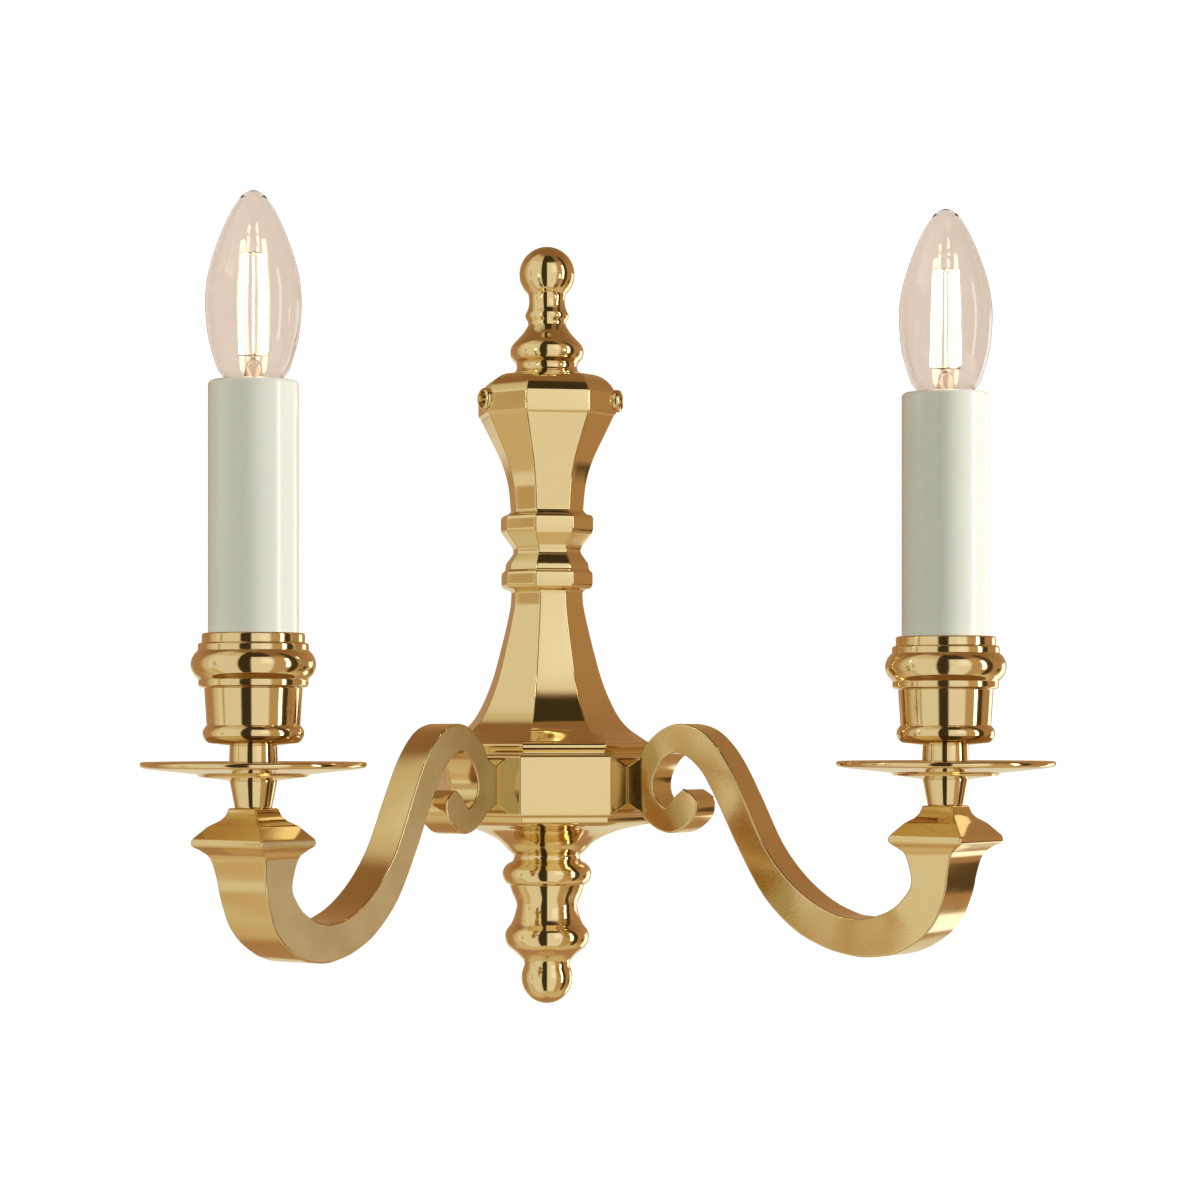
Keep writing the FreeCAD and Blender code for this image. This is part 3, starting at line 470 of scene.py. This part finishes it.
# The back is faced off flat, so nothing of the rounding stands past the wall.
for corner in body.data.vertices:
    corner.co.y = min(corner.co.y, 0)

# Two bosses on the corners of the head band, each with a sunk hole for its side screw. They are
# turned upright and tipped over, so each outline is its radius and its distance from the axis.
SIDE_SCREW_TURN = 22.5
boss_outline = [(2.15, 20.0), (4.6, 20.0)] + round_run((4.6, 29.3), (4.2, 30.5), (3.5, 31.0), 5)
boss_outline += round_run((3.4, 31.0), (3.15, 30.9), (3.05, 30.6), 3) + [(3.05, 25.5), (2.15, 25.5)]
bosses = []
for turn in (-SIDE_SCREW_TURN, 180 + SIDE_SCREW_TURN):
    boss = turned_piece("boss", boss_outline, closed=True, steps=48)
    bosses.append(placed(boss, y=BODY_AXIS_Y, turn=turn, tip=90))
only(body, *bosses)
bpy.ops.object.join()
even_shading(body)


def brass(name, low_colour, high_colour, roughness=(0.05, 0.12), scratch=0.02, cloud=30.0,
          uneven=0.0005):
    """Brass as buffing leaves it: the colour drifts a little with the alloy and the lacquer, faint
    cloudy patches differ in gloss, and very fine wheel marks blur each reflection."""
    metal, tree, shader = new_material(name, Metallic=1.0)
    place = add_node(tree, "ShaderNodeTexCoord").outputs["Object"]
    clouds = add_node(tree, "ShaderNodeTexNoise", {
        "Vector": place, "Scale": cloud, "Detail": 3.0, "Roughness": 0.55})
    tone = add_node(tree, "ShaderNodeMix", {
        "Factor": clouds.outputs["Fac"], "A": linear(low_colour), "B": linear(high_colour)},
        data_type="RGBA")
    gloss = add_node(tree, "ShaderNodeMapRange", {
        "Value": clouds.outputs["Fac"], "From Min": 0.3, "From Max": 0.7, "To Min": roughness[0],
        "To Max": roughness[1]})
    # Wheel marks are finer than the picture can show, so they are drawn about 0.5 mm apart.
    stretch = add_node(tree, "ShaderNodeMapping", {"Vector": place, "Scale": (500.0, 500.0, 2000.0)})
    marks = add_node(tree, "ShaderNodeTexNoise", {
        "Vector": stretch.outputs["Vector"], "Scale": 1.0, "Detail": 2.0})
    # The castings were buffed by hand, so their flats are not dead flat: 0.1 to 0.3 mm over 40 mm.
    waves = add_node(tree, "ShaderNodeTexNoise", {"Vector": place, "Scale": 26.0, "Detail": 0.0})
    dished = add_node(tree, "ShaderNodeBump", {
        "Height": waves.outputs["Fac"], "Strength": 1.0, "Distance": uneven})
    bump = add_node(tree, "ShaderNodeBump", {
        "Height": marks.outputs["Fac"], "Strength": scratch, "Distance": 0.0002,
        "Normal": dished.outputs["Normal"]})
    for socket, source in (("Base Color", tone.outputs["Result"]), ("Roughness", gloss.outputs["Result"]),
                           ("Normal", bump.outputs["Normal"])):
        tree.links.new(source, shader.inputs[socket])
    return metal


# Cast brass, buffed to a mirror.
polished_brass = brass("polished_cast_brass", "#E2CD9A", "#EAD7A6")
body.data.materials.append(polished_brass)
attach(body, "sconce")
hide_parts("body_casting")


# ---- Finials -------------------------------------------------------------------------------------
# Turned from solid brass bar and screwed on to studs in the casting. They stand clear of the wall.
top_outline = [(0, HEAD_TOP), (14.4, HEAD_TOP)] + round_run((14.4, 11.7), (12.9, 12.6), (12.3, 14.2), 5)
top_outline += round_run((12.3, 14.2), (12.5, 15.5), (13.4, 16.7), 4)[1:]
top_outline += round_run((13.4, 16.7), (14.95, 20.6), (13.4, 24.2), 9)[1:]
top_outline += smooth_run([(13.4, 24.2), (9.9, 28.0), (8.0, 30.9)], 5)[1:]
top_outline += round_run((8.0, 30.9), (7.7, 32.6), (8.3, 33.6), 4)[1:]
top_outline += round_run((8.3, 33.6), (8.8, 35.2), (8.3, 36.9), 5)[1:]
top_outline += round_run((8.3, 36.9), (7.3, 40.3), (7.6, 44.0), 6)[1:]
top_outline += round_run((7.6, 44.0), (11.23, 52.27), (0, 63.5), 24)[1:]

bottom_outline = [(0, BODY_FOOT)] + round_run((14.7, BODY_FOOT), (13.4, -184.8), (14.6, -187.0), 5)
bottom_outline += round_run((14.6, -187.0), (18.1, -192.1), (16.3, -195.7), 10)[1:] + [(15.2, -196.2)]
bottom_outline += smooth_run([(15.1, -196.8), (14.2, -199.6), (12.4, -204.3), (13.2, -208.9),
                              (14.6, -212.2)], 4)
bottom_outline += round_run((15.2, -213.0), (17.1, -217.7), (15.2, -221.8), 9)
bottom_outline += smooth_run([(15.2, -221.8), (12.2, -224.2), (9.8, -226.6)], 4)[1:]
bottom_outline += round_run((9.8, -226.6), (9.2, -228.3), (9.5, -229.9), 3)[1:]
bottom_outline += round_run((9.5, -229.9), (10.39, -234.1), (0, -244.5), 22)[1:]

for name, outline, node in (("top_finial_turned", top_outline, "top_finial"),
                            ("bottom_finial_turned", bottom_outline, "bottom_finial")):
    finial = placed(turned_piece(name, outline), y=BODY_AXIS_Y)
    even_shading(finial)
    finial.data.materials.append(polished_brass)
    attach(finial, "sconce")
    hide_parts(node)


# ---- Arms ----------------------------------------------------------------------------------------
# Flat scroll castings, square in section: a pad on the hub, a curled hook, a long slope, a U bend and
# a square capital. They are ground flat and polished by hand, all but one flank of the left arm.
ARM_REACH = 183.7
ARM_ANGLE = 45
CAPITAL_TOP = -161.6


def capital_row(along, across, height):
    """Section of the capital, with half its width along the arm and across it."""
    return (ARM_REACH - along, height, ARM_REACH + along, height, across)


# Each row is one section of the bar: upper edge, lower edge (distance from the body's axis, height)
# and half thickness across.
capital = [capital_row(6.6, 6.6, CAPITAL_TOP), capital_row(6.8, 6.9, -162.7),
           capital_row(7.4, 7.6, -164.6), capital_row(8.6, 9.2, -166.3), capital_row(10.4, 11.4, -167.6),
           capital_row(11.4, 12.8, -168.5), capital_row(15.5, 16.9, -173.2),
           capital_row(15.5, 16.9, -175.5)]
neck_and_bar = [
    (169.9, -176.8, 196.6, -176.8, 15.2), (173.3, -180.0, 192.9, -180.0, 13.2),
    (175.1, -188.0, 190.9, -187.0, 11.9), (174.4, -192.6, 189.9, -192.6, 11.4),
    (171.8, -196.0, 188.2, -198.0, 11.1), (168.3, -199.4, 184.6, -205.5, 10.8),
    (164.0, -201.8, 177.4, -212.3, 10.4), (158.0, -203.9, 166.8, -217.6, 9.8),
    (152.0, -204.9, 154.0, -219.4, 9.3), (146.5, -204.6, 143.5, -218.3, 8.9),
    (141.2, -203.7, 134.5, -215.9, 8.6), (130.4, -199.1, 122.0, -210.0, 8.2),
    (118.7, -190.3, 108.2, -197.8, 7.9), (108.3, -177.9, 96.5, -179.7, 7.6),
    (99.2, -160.7, 88.7, -165.5, 7.3), (91.8, -147.3, 82.3, -154.4, 7.1),
    (85.2, -138.7, 78.0, -148.6, 7.0), (77.8, -133.0, 73.0, -144.4, 7.0),
    (68.6, -130.8, 67.4, -142.0, 7.0), (61.0, -132.7, 63.2, -143.3, 7.0),
    (54.6, -137.3, 60.0, -146.0, 7.0), (50.6, -142.6, 57.4, -150.0, 7.0),
    (49.0, -149.0, 56.3, -153.4, 7.0), (48.6, -155.2, 56.2, -156.5, 7.0),
    (49.0, -161.5, 56.9, -158.9, 7.0), (50.6, -166.8, 58.4, -161.2, 7.0),
    (54.5, -170.4, 60.2, -162.8, 7.0), (59.5, -173.1, 62.3, -163.8, 7.0),
    (64.5, -174.0, 64.4, -162.0, 7.0), (70.0, -172.3, 66.4, -159.6, 7.0),
    (75.6, -167.8, 68.6, -157.8, 7.0), (77.0, -163.0, 70.2, -156.9, 7.0),
    (76.2, -160.3, 71.3, -156.7, 7.0), (74.6, -158.6, 72.3, -157.1, 7.0)]
arm_rings = []
for upper_s, upper_z, lower_s, lower_z, half in capital + smooth_run(neck_and_bar, 4):
    arm_rings.append([(upper_s, -half, upper_z), (upper_s, half, upper_z), (lower_s, half, lower_z),
                      (lower_s, -half, lower_z)])
arm = extruded_rings("arm_cast", arm_rings)
# The pad is as thick as the bar. It is highest a little way out from the hub.
PAD_HALF = 7
pad = []
for reach, top, low in ((HUB_HALF, -147.6, -162.8), (49.3, -144.8, -165.6), (53.0, -146.5, -164.0)):
    pad.append([(reach, -PAD_HALF, top), (reach, PAD_HALF, top), (reach, PAD_HALF, low),
                (reach, -PAD_HALF, low)])
combine(arm, extruded_rings("pad", pad), "UNION")
round_edges(arm, 0.7)
even_shading(arm)

# Cast brass, ground and then polished by hand: its mirror is a little duller and less even than the
# body's.
arm_brass = brass("ground_and_polished_brass", "#DDC690", "#E7D2A0", roughness=(0.06, 0.13), scratch=0.05,
                  cloud=45.0, uneven=0.0009)


def copy_of(piece, name):
    """Copy with its own mesh."""
    made = piece.copy()
    made.data = piece.data.copy()
    made.name = name
    bpy.context.scene.collection.objects.link(made)
    return made


# The left arm's inner flank is as the grinding belt left it: paler, rough and not polished.
belt_brass = brass("belt_ground_brass", "#DCCD98", "#F6EDC8", roughness=(0.46, 0.64), scratch=0.5,
                   cloud=75.0)
# A face belongs to the flank if it looks within about 14 degrees of its direction.
FLANK_LIMIT = 0.97
for side, turn in (("left", -90 - ARM_ANGLE), ("right", ARM_ANGLE - 90)):
    fitted = placed(copy_of(arm, side + "_arm_cast"), y=BODY_AXIS_Y, turn=turn)
    fitted.data.materials.append(arm_brass)
    if side == "left":
        fitted.data.materials.append(belt_brass)
        flank = mathutils.Vector(
            (math.sin(math.radians(ARM_ANGLE)), -math.cos(math.radians(ARM_ANGLE)), 0))
        for face in fitted.data.polygons:
            if face.normal.dot(flank) > FLANK_LIMIT:
                face.material_index = 1
    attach(fitted, "sconce")
    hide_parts(side + "_arm")
bpy.data.objects.remove(arm)


# ---- Candle furniture ----------------------------------------------------------------------------
# Four turned brass pieces, threaded on one tube above the arm's capital: lower neck, dished drip
# pan, upper neck and candle cup.
CANDLE_X = ARM_REACH * math.sin(math.radians(ARM_ANGLE))
CANDLE_Y = BODY_AXIS_Y - ARM_REACH * math.cos(math.radians(ARM_ANGLE))
PAN_TOP = -144.9
PAN_FOOT = -151.7
CUP_FOOT = -138.9
CUP_TOP = -98.2
TUBE_HOLE = 5.1


def fit_both(piece, node, body_ending, finish):
    """Put a copy of a piece on each candle's axis, and remove the original. Without a body_ending the
    copies belong to the sconce itself."""
    for side, x in (("left", -CANDLE_X), ("right", CANDLE_X)):
        fitted = placed(copy_of(piece, side + "_" + piece.name), x=x, y=CANDLE_Y)
        fitted.data.materials.append(finish)
        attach(fitted, side + body_ending if body_ending else "sconce")
        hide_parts(side + "_" + node)
    bpy.data.objects.remove(piece)


lower_neck = [(TUBE_HOLE, CAPITAL_TOP), (6.7, CAPITAL_TOP), (6.9, CAPITAL_TOP + 0.6),
              (8.6, PAN_FOOT - 0.4), (8.6, PAN_FOOT), (TUBE_HOLE, PAN_FOOT)]
upper_neck = [(TUBE_HOLE, PAN_TOP), (8.8, PAN_TOP), (8.6, CUP_FOOT), (TUBE_HOLE, CUP_FOOT)]
drip_pan = [(TUBE_HOLE, PAN_FOOT), (9.4, PAN_FOOT), (18.9, PAN_FOOT + 1.3), (19.6, PAN_FOOT + 1.3),
            (20.1, PAN_FOOT + 1.9), (20.6, PAN_FOOT + 2.3), (37.0, PAN_FOOT + 4.0)]
drip_pan += round_run((40.3, PAN_TOP - 2.2), (41.1, PAN_TOP - 1.1), (40.3, PAN_TOP), 6)
drip_pan += smooth_run([(39.4, PAN_TOP - 0.1), (35.0, PAN_TOP - 1.1), (27.0, PAN_TOP - 1.6),
                        (19.0, PAN_TOP - 1.8)], 4)
drip_pan += round_run((12.0, PAN_TOP - 1.8), (9.7, PAN_TOP - 1.4), (9.2, PAN_TOP), 4)
drip_pan += [(TUBE_HOLE, PAN_TOP)]
candle_cup = [(TUBE_HOLE, CUP_FOOT), (9.8, CUP_FOOT), (15.4, CUP_FOOT + 0.7)]
candle_cup += round_run((16.4, CUP_FOOT + 0.9), (18.4, CUP_FOOT + 3.9), (17.4, CUP_FOOT + 6.8), 8)
candle_cup += [(16.9, CUP_FOOT + 7.3), (17.0, CUP_FOOT + 8.0), (17.8, CUP_FOOT + 20.8),
               (19.4, CUP_FOOT + 21.1), (19.9, CUP_FOOT + 21.7), (19.9, CUP_FOOT + 23.8)]
candle_cup += round_run((20.4, CUP_FOOT + 24.4), (22.7, CUP_FOOT + 29.3), (20.6, CUP_FOOT + 34.0), 10)
candle_cup += [(20.1, CUP_TOP - 6.3), (20.1, CUP_TOP - 4.2), (19.7, CUP_TOP - 3.7), (18.7, CUP_TOP - 3.5),
               (18.7, CUP_TOP - 0.5), (18.2, CUP_TOP), (16.9, CUP_TOP), (16.9, CUP_FOOT + 6.2),
               (TUBE_HOLE, CUP_FOOT + 6.2)]
# Brass turned in a lathe and polished: truly round, so without the waves of the castings.
turned_brass = brass("turned_brass", "#E1CC9B", "#E9D6A8", roughness=(0.05, 0.11), scratch=0.03, cloud=22.0,
                     uneven=0.0)
for name, outline in (("lower_neck", lower_neck), ("drip_pan", drip_pan), ("upper_neck", upper_neck),
                      ("candle_cup", candle_cup)):
    made = turned_piece(name + "_turned", outline, closed=True, steps=128)
    round_edges(made, 0.18, segments=2)
    even_shading(made)
    fit_both(made, name, "", turned_brass)


# ---- Candle sleeves ------------------------------------------------------------------------------
# Moulded ivory tubes with a rolled-in mouth. They stand in the cups and lift off for the wiring.
SLEEVE_RADIUS = 16.5
SLEEVE_TOP = -6.7
SLEEVE_FOOT = CUP_FOOT + 6.4
SLEEVE_BORE = 14.9
MOUTH_BORE = 13.0
sleeve = [(SLEEVE_BORE, SLEEVE_FOOT), (SLEEVE_RADIUS, SLEEVE_FOOT)]
sleeve += round_run((SLEEVE_RADIUS, SLEEVE_TOP - 1.6), (SLEEVE_RADIUS - 0.47, SLEEVE_TOP - 0.47),
                    (SLEEVE_RADIUS - 1.6, SLEEVE_TOP), 6)
sleeve += [(MOUTH_BORE, SLEEVE_TOP), (MOUTH_BORE, SLEEVE_TOP - 1.6), (SLEEVE_BORE, SLEEVE_TOP - 1.6)]
# Glossy ivory plastic: soft sheen, a little translucent, with the faintest ripple from the mould.
ivory, ivory_tree, ivory_shader = new_material(
    "moulded_ivory_plastic", Roughness=0.22, IOR=1.5, Subsurface_Weight=0.15, Subsurface_Scale=0.004,
    Coat_Weight=0.3, Coat_Roughness=0.08)
ivory_place = add_node(ivory_tree, "ShaderNodeTexCoord").outputs["Object"]
ivory_clouds = add_node(
    ivory_tree, "ShaderNodeTexNoise", {"Vector": ivory_place, "Scale": 25.0, "Detail": 2.0})
ivory_tone = add_node(ivory_tree, "ShaderNodeMix", {
    "Factor": ivory_clouds.outputs["Fac"], "A": linear("#E8E8DC"), "B": linear("#EEEEE4")},
    data_type="RGBA")
ivory_bump = add_node(ivory_tree, "ShaderNodeBump", {
    "Height": ivory_clouds.outputs["Fac"], "Strength": 0.05, "Distance": 0.0005})
ivory_tree.links.new(ivory_tone.outputs["Result"], ivory_shader.inputs["Base Color"])
ivory_tree.links.new(ivory_bump.outputs["Normal"], ivory_shader.inputs["Normal"])
made = turned_piece("candle_sleeve_moulded", sleeve, closed=True, steps=128)
even_shading(made)
fit_both(made, "candle_sleeve", "_sleeve", ivory)


# ---- Lamps ---------------------------------------------------------------------------------------
# Clear candle lamps: a blown glass envelope cemented in a small screw cap, with four glowing
# filament rods on a glass stem.
LAMP_TIP = 62.5
LAMP_CAP_TOP = -9.5
FILAMENT_LOW = 3.5
FILAMENT_HIGH = 39.0
FILAMENT_CIRCLE = 5.6
FILAMENT_LEAN = 0.8
FILAMENT_RADIUS = 1.0


def envelope(wall):
    """Outline of the glass less this wall, from its foot up to just under its tip."""
    outside = [(6.4, LAMP_CAP_TOP), (9.0, -7.6), (12.3, -3.8), (14.2, 0.7), (16.6, 10.0), (17.5, 21.0),
               (17.0, 29.0), (15.2, 37.0), (11.9, 46.5), (8.2, 54.5), (4.9, 59.6)]
    return smooth_run([(radius - wall, height) for radius, height in outside], 5)


GLASS_WALL = 0.7
glass_outline = round_run((0, LAMP_TIP), (2.7, 61.6), (4.9, 59.6), 8)[:-1] + envelope(0)[::-1]
glass_outline += envelope(GLASS_WALL) + round_run((3.7, 59.9), (2.0, 61.3), (0, LAMP_TIP - 0.8), 6)
# Thin, clear blown glass: colourless but for a slight warm tint, with a faint ripple that bends what
# is seen through it.
glass, glass_tree, glass_shader = new_material(
    "clear_blown_glass", Transmission_Weight=1.0, Roughness=0.0, IOR=1.4, Base_Color=linear("#E7DDD4"))
glass_place = add_node(glass_tree, "ShaderNodeTexCoord").outputs["Object"]
glass_ripple = add_node(
    glass_tree, "ShaderNodeTexNoise", {"Vector": glass_place, "Scale": 60.0, "Detail": 1.0})
glass_bump = add_node(glass_tree, "ShaderNodeBump", {
    "Height": glass_ripple.outputs["Fac"], "Strength": 0.03, "Distance": 0.0005})
glass_tree.links.new(glass_bump.outputs["Normal"], glass_shader.inputs["Normal"])
made = turned_piece("lamp_glass_blown", glass_outline)
even_shading(made)
fit_both(made, "lamp_glass", "_lamp", glass)

stem_outline = [(0, LAMP_CAP_TOP), (5.0, LAMP_CAP_TOP)]
stem_outline += smooth_run([(5.0, LAMP_CAP_TOP), (3.9, -7.0), (3.2, -3.0), (2.6, -0.5)], 4)[1:]
stem_outline += round_run((2.6, -0.5), (1.7, 0.9), (0, 1.5), 5)[1:]
made = turned_piece("lamp_stem_drawn", stem_outline, steps=32)
even_shading(made)
fit_both(made, "lamp_stem", "_lamp", glass)

# Filament rods: a glowing yellow coating, whose beads show about every millimetre.
glow, glow_tree, glow_shader = new_material(
    "glowing_filament_coating", Base_Color=linear("#FFD89A"), Roughness=0.6, Emission_Strength=30.0)
glow_place = add_node(glow_tree, "ShaderNodeTexCoord").outputs["Object"]
glow_beads = add_node(
    glow_tree, "ShaderNodeTexWave", {"Vector": glow_place, "Scale": 300.0}, bands_direction="Z")
glow_tone = add_node(glow_tree, "ShaderNodeMix", {
    "Factor": glow_beads.outputs["Fac"], "A": linear("#FFDFA8"), "B": linear("#FFF1D8")}, data_type="RGBA")
glow_tree.links.new(glow_tone.outputs["Result"], glow_shader.inputs["Emission Color"])


def round_bar(name, start, end, radius):
    """Straight round bar between two points in millimetres."""
    lean = mathutils.Vector(end) - mathutils.Vector(start)
    bpy.ops.object.select_all(action="DESELECT")
    bpy.ops.mesh.primitive_cylinder_add(
        vertices=16, radius=radius * MM, depth=lean.length * MM,
        location=[value * MM for value in between(start, end, 0.5)],
        rotation=lean.to_track_quat("Z", "Y").to_euler())
    bar = bpy.context.object
    bar.name = name
    bpy.ops.object.transform_apply(location=True, rotation=True, scale=True)
    return bar


# The four rods lean in a little, so their tops stand closer to the axis than their feet.
filaments = []
for quarter in range(4):
    outward = math.radians(45 + 90 * quarter)
    across, back = FILAMENT_CIRCLE * math.cos(outward), FILAMENT_CIRCLE * math.sin(outward)
    foot_end = (across, back, FILAMENT_LOW)
    top_end = (FILAMENT_LEAN * across, FILAMENT_LEAN * back, FILAMENT_HIGH)
    filaments.append(round_bar("filament", foot_end, top_end, FILAMENT_RADIUS))
only(*filaments)
bpy.ops.object.join()
filaments = bpy.context.object
filaments.name = "lamp_filaments_coated"
round_edges(filaments, 0.3, angle=60)
even_shading(filaments)
fit_both(filaments, "lamp_filaments", "_lamp", glow)


# ---- Parts that keep the CAD shape ---------------------------------------------------------------
# The bracket, fixings, lampholders, caps and leads are simple pressed, turned or moulded forms, so
# they keep their CAD shape and only get a finish.
def fixing_metal(name, low_colour, high_colour, roughness, grain=(900.0, 900.0, 900.0)):
    """Plain bare or plated metal: two close tones in fine grain, with a little relief."""
    metal, tree, shader = new_material(name, Metallic=1.0)
    place = add_node(tree, "ShaderNodeTexCoord").outputs["Object"]
    spread = add_node(tree, "ShaderNodeMapping", {"Vector": place, "Scale": grain})
    fine = add_node(tree, "ShaderNodeTexNoise", {
        "Vector": spread.outputs["Vector"], "Scale": 1.0, "Detail": 3.0})
    tone = add_node(tree, "ShaderNodeMix", {
        "Factor": fine.outputs["Fac"], "A": linear(low_colour), "B": linear(high_colour)}, data_type="RGBA")
    gloss = add_node(tree, "ShaderNodeMapRange", {
        "Value": fine.outputs["Fac"], "To Min": roughness[0], "To Max": roughness[1]})
    relief = add_node(tree, "ShaderNodeBump", {
        "Height": fine.outputs["Fac"], "Strength": 0.06, "Distance": 0.0003})
    for socket, source in (("Base Color", tone.outputs["Result"]), ("Roughness", gloss.outputs["Result"]),
                           ("Normal", relief.outputs["Normal"])):
        tree.links.new(source, shader.inputs[socket])
    return metal


def moulded_plastic(name, colour, roughness, grain=1200.0, **sockets):
    """Opaque plastic with the fine sheen of its mould."""
    plastic, tree, shader = new_material(name, Base_Color=linear(colour), Roughness=roughness, **sockets)
    place = add_node(tree, "ShaderNodeTexCoord").outputs["Object"]
    fine = add_node(tree, "ShaderNodeTexNoise", {"Vector": place, "Scale": grain, "Detail": 2.0})
    relief = add_node(tree, "ShaderNodeBump", {
        "Height": fine.outputs["Fac"], "Strength": 0.08, "Distance": 0.0002})
    tree.links.new(relief.outputs["Normal"], shader.inputs["Normal"])
    return plastic


# Zinc plating is bluish and cloudy. The strap shows the long marks of its rolling.
zinc_plate = fixing_metal(
    "zinc_plated_steel_strip", "#A9ADB0", "#C3C6C6", (0.28, 0.45), grain=(1500.0, 1500.0, 120.0))
bright_steel = fixing_metal("bright_zinc_fixings", "#B9BCBD", "#D0D2D1", (0.2, 0.32))
# Plain turned brass, not buffed.
plain_brass = fixing_metal(
    "plain_turned_brass", "#B8924E", "#CBA763", (0.22, 0.36), grain=(300.0, 300.0, 2500.0))
# Nickel plated cap and shell, a little dull from handling.
nickel_cap = fixing_metal("nickel_plated_cap", "#BDB7AA", "#CFCABD", (0.2, 0.33))
nickel_iron = fixing_metal("nickel_iron_wire", "#A8A39A", "#BFBAB0", (0.25, 0.4))
terminal_plastic = moulded_plastic("white_terminal_plastic", "#E4E1D8", 0.42)
holder_plastic = moulded_plastic("black_holder_plastic", "#1D1B19", 0.38)
lamp_black = moulded_plastic("black_vitreous_insulator", "#141312", 0.15, grain=600.0)
# The lead's insulation is soft and slightly waxy.
lead_cover = moulded_plastic("gold_pvc_lead_cover", "#B69550", 0.4, Coat_Weight=0.15)
finishes = {
    "wall_strap": zinc_plate, "strap_yoke": zinc_plate, "side_screws": polished_brass,
    "top_stud": plain_brass, "top_stud_nut": plain_brass, "bottom_stud": plain_brass,
    "bottom_stud_nut": plain_brass, "terminal_block": terminal_plastic, "terminal_screws": bright_steel,
    "earth_screw": plain_brass, "earth_washer": plain_brass,
}
side_finishes = {
    "arm_nipple": plain_brass, "arm_nut": plain_brass, "candle_nipple": plain_brass, "cup_nut": plain_brass,
    "lampholder": holder_plastic, "holder_shell": nickel_cap, "holder_contact": plain_brass,
    "lamp_cap": nickel_cap, "lamp_contact": lamp_black, "filament_wires": nickel_iron,
    "inner_wire": lead_cover,
}
for side in ("left", "right"):
    finishes.update({side + "_" + name: finish for name, finish in side_finishes.items()})
for name, finish in finishes.items():
    node = bpy.data.objects[name]
    node.data.materials.clear()
    node.data.materials.append(finish)
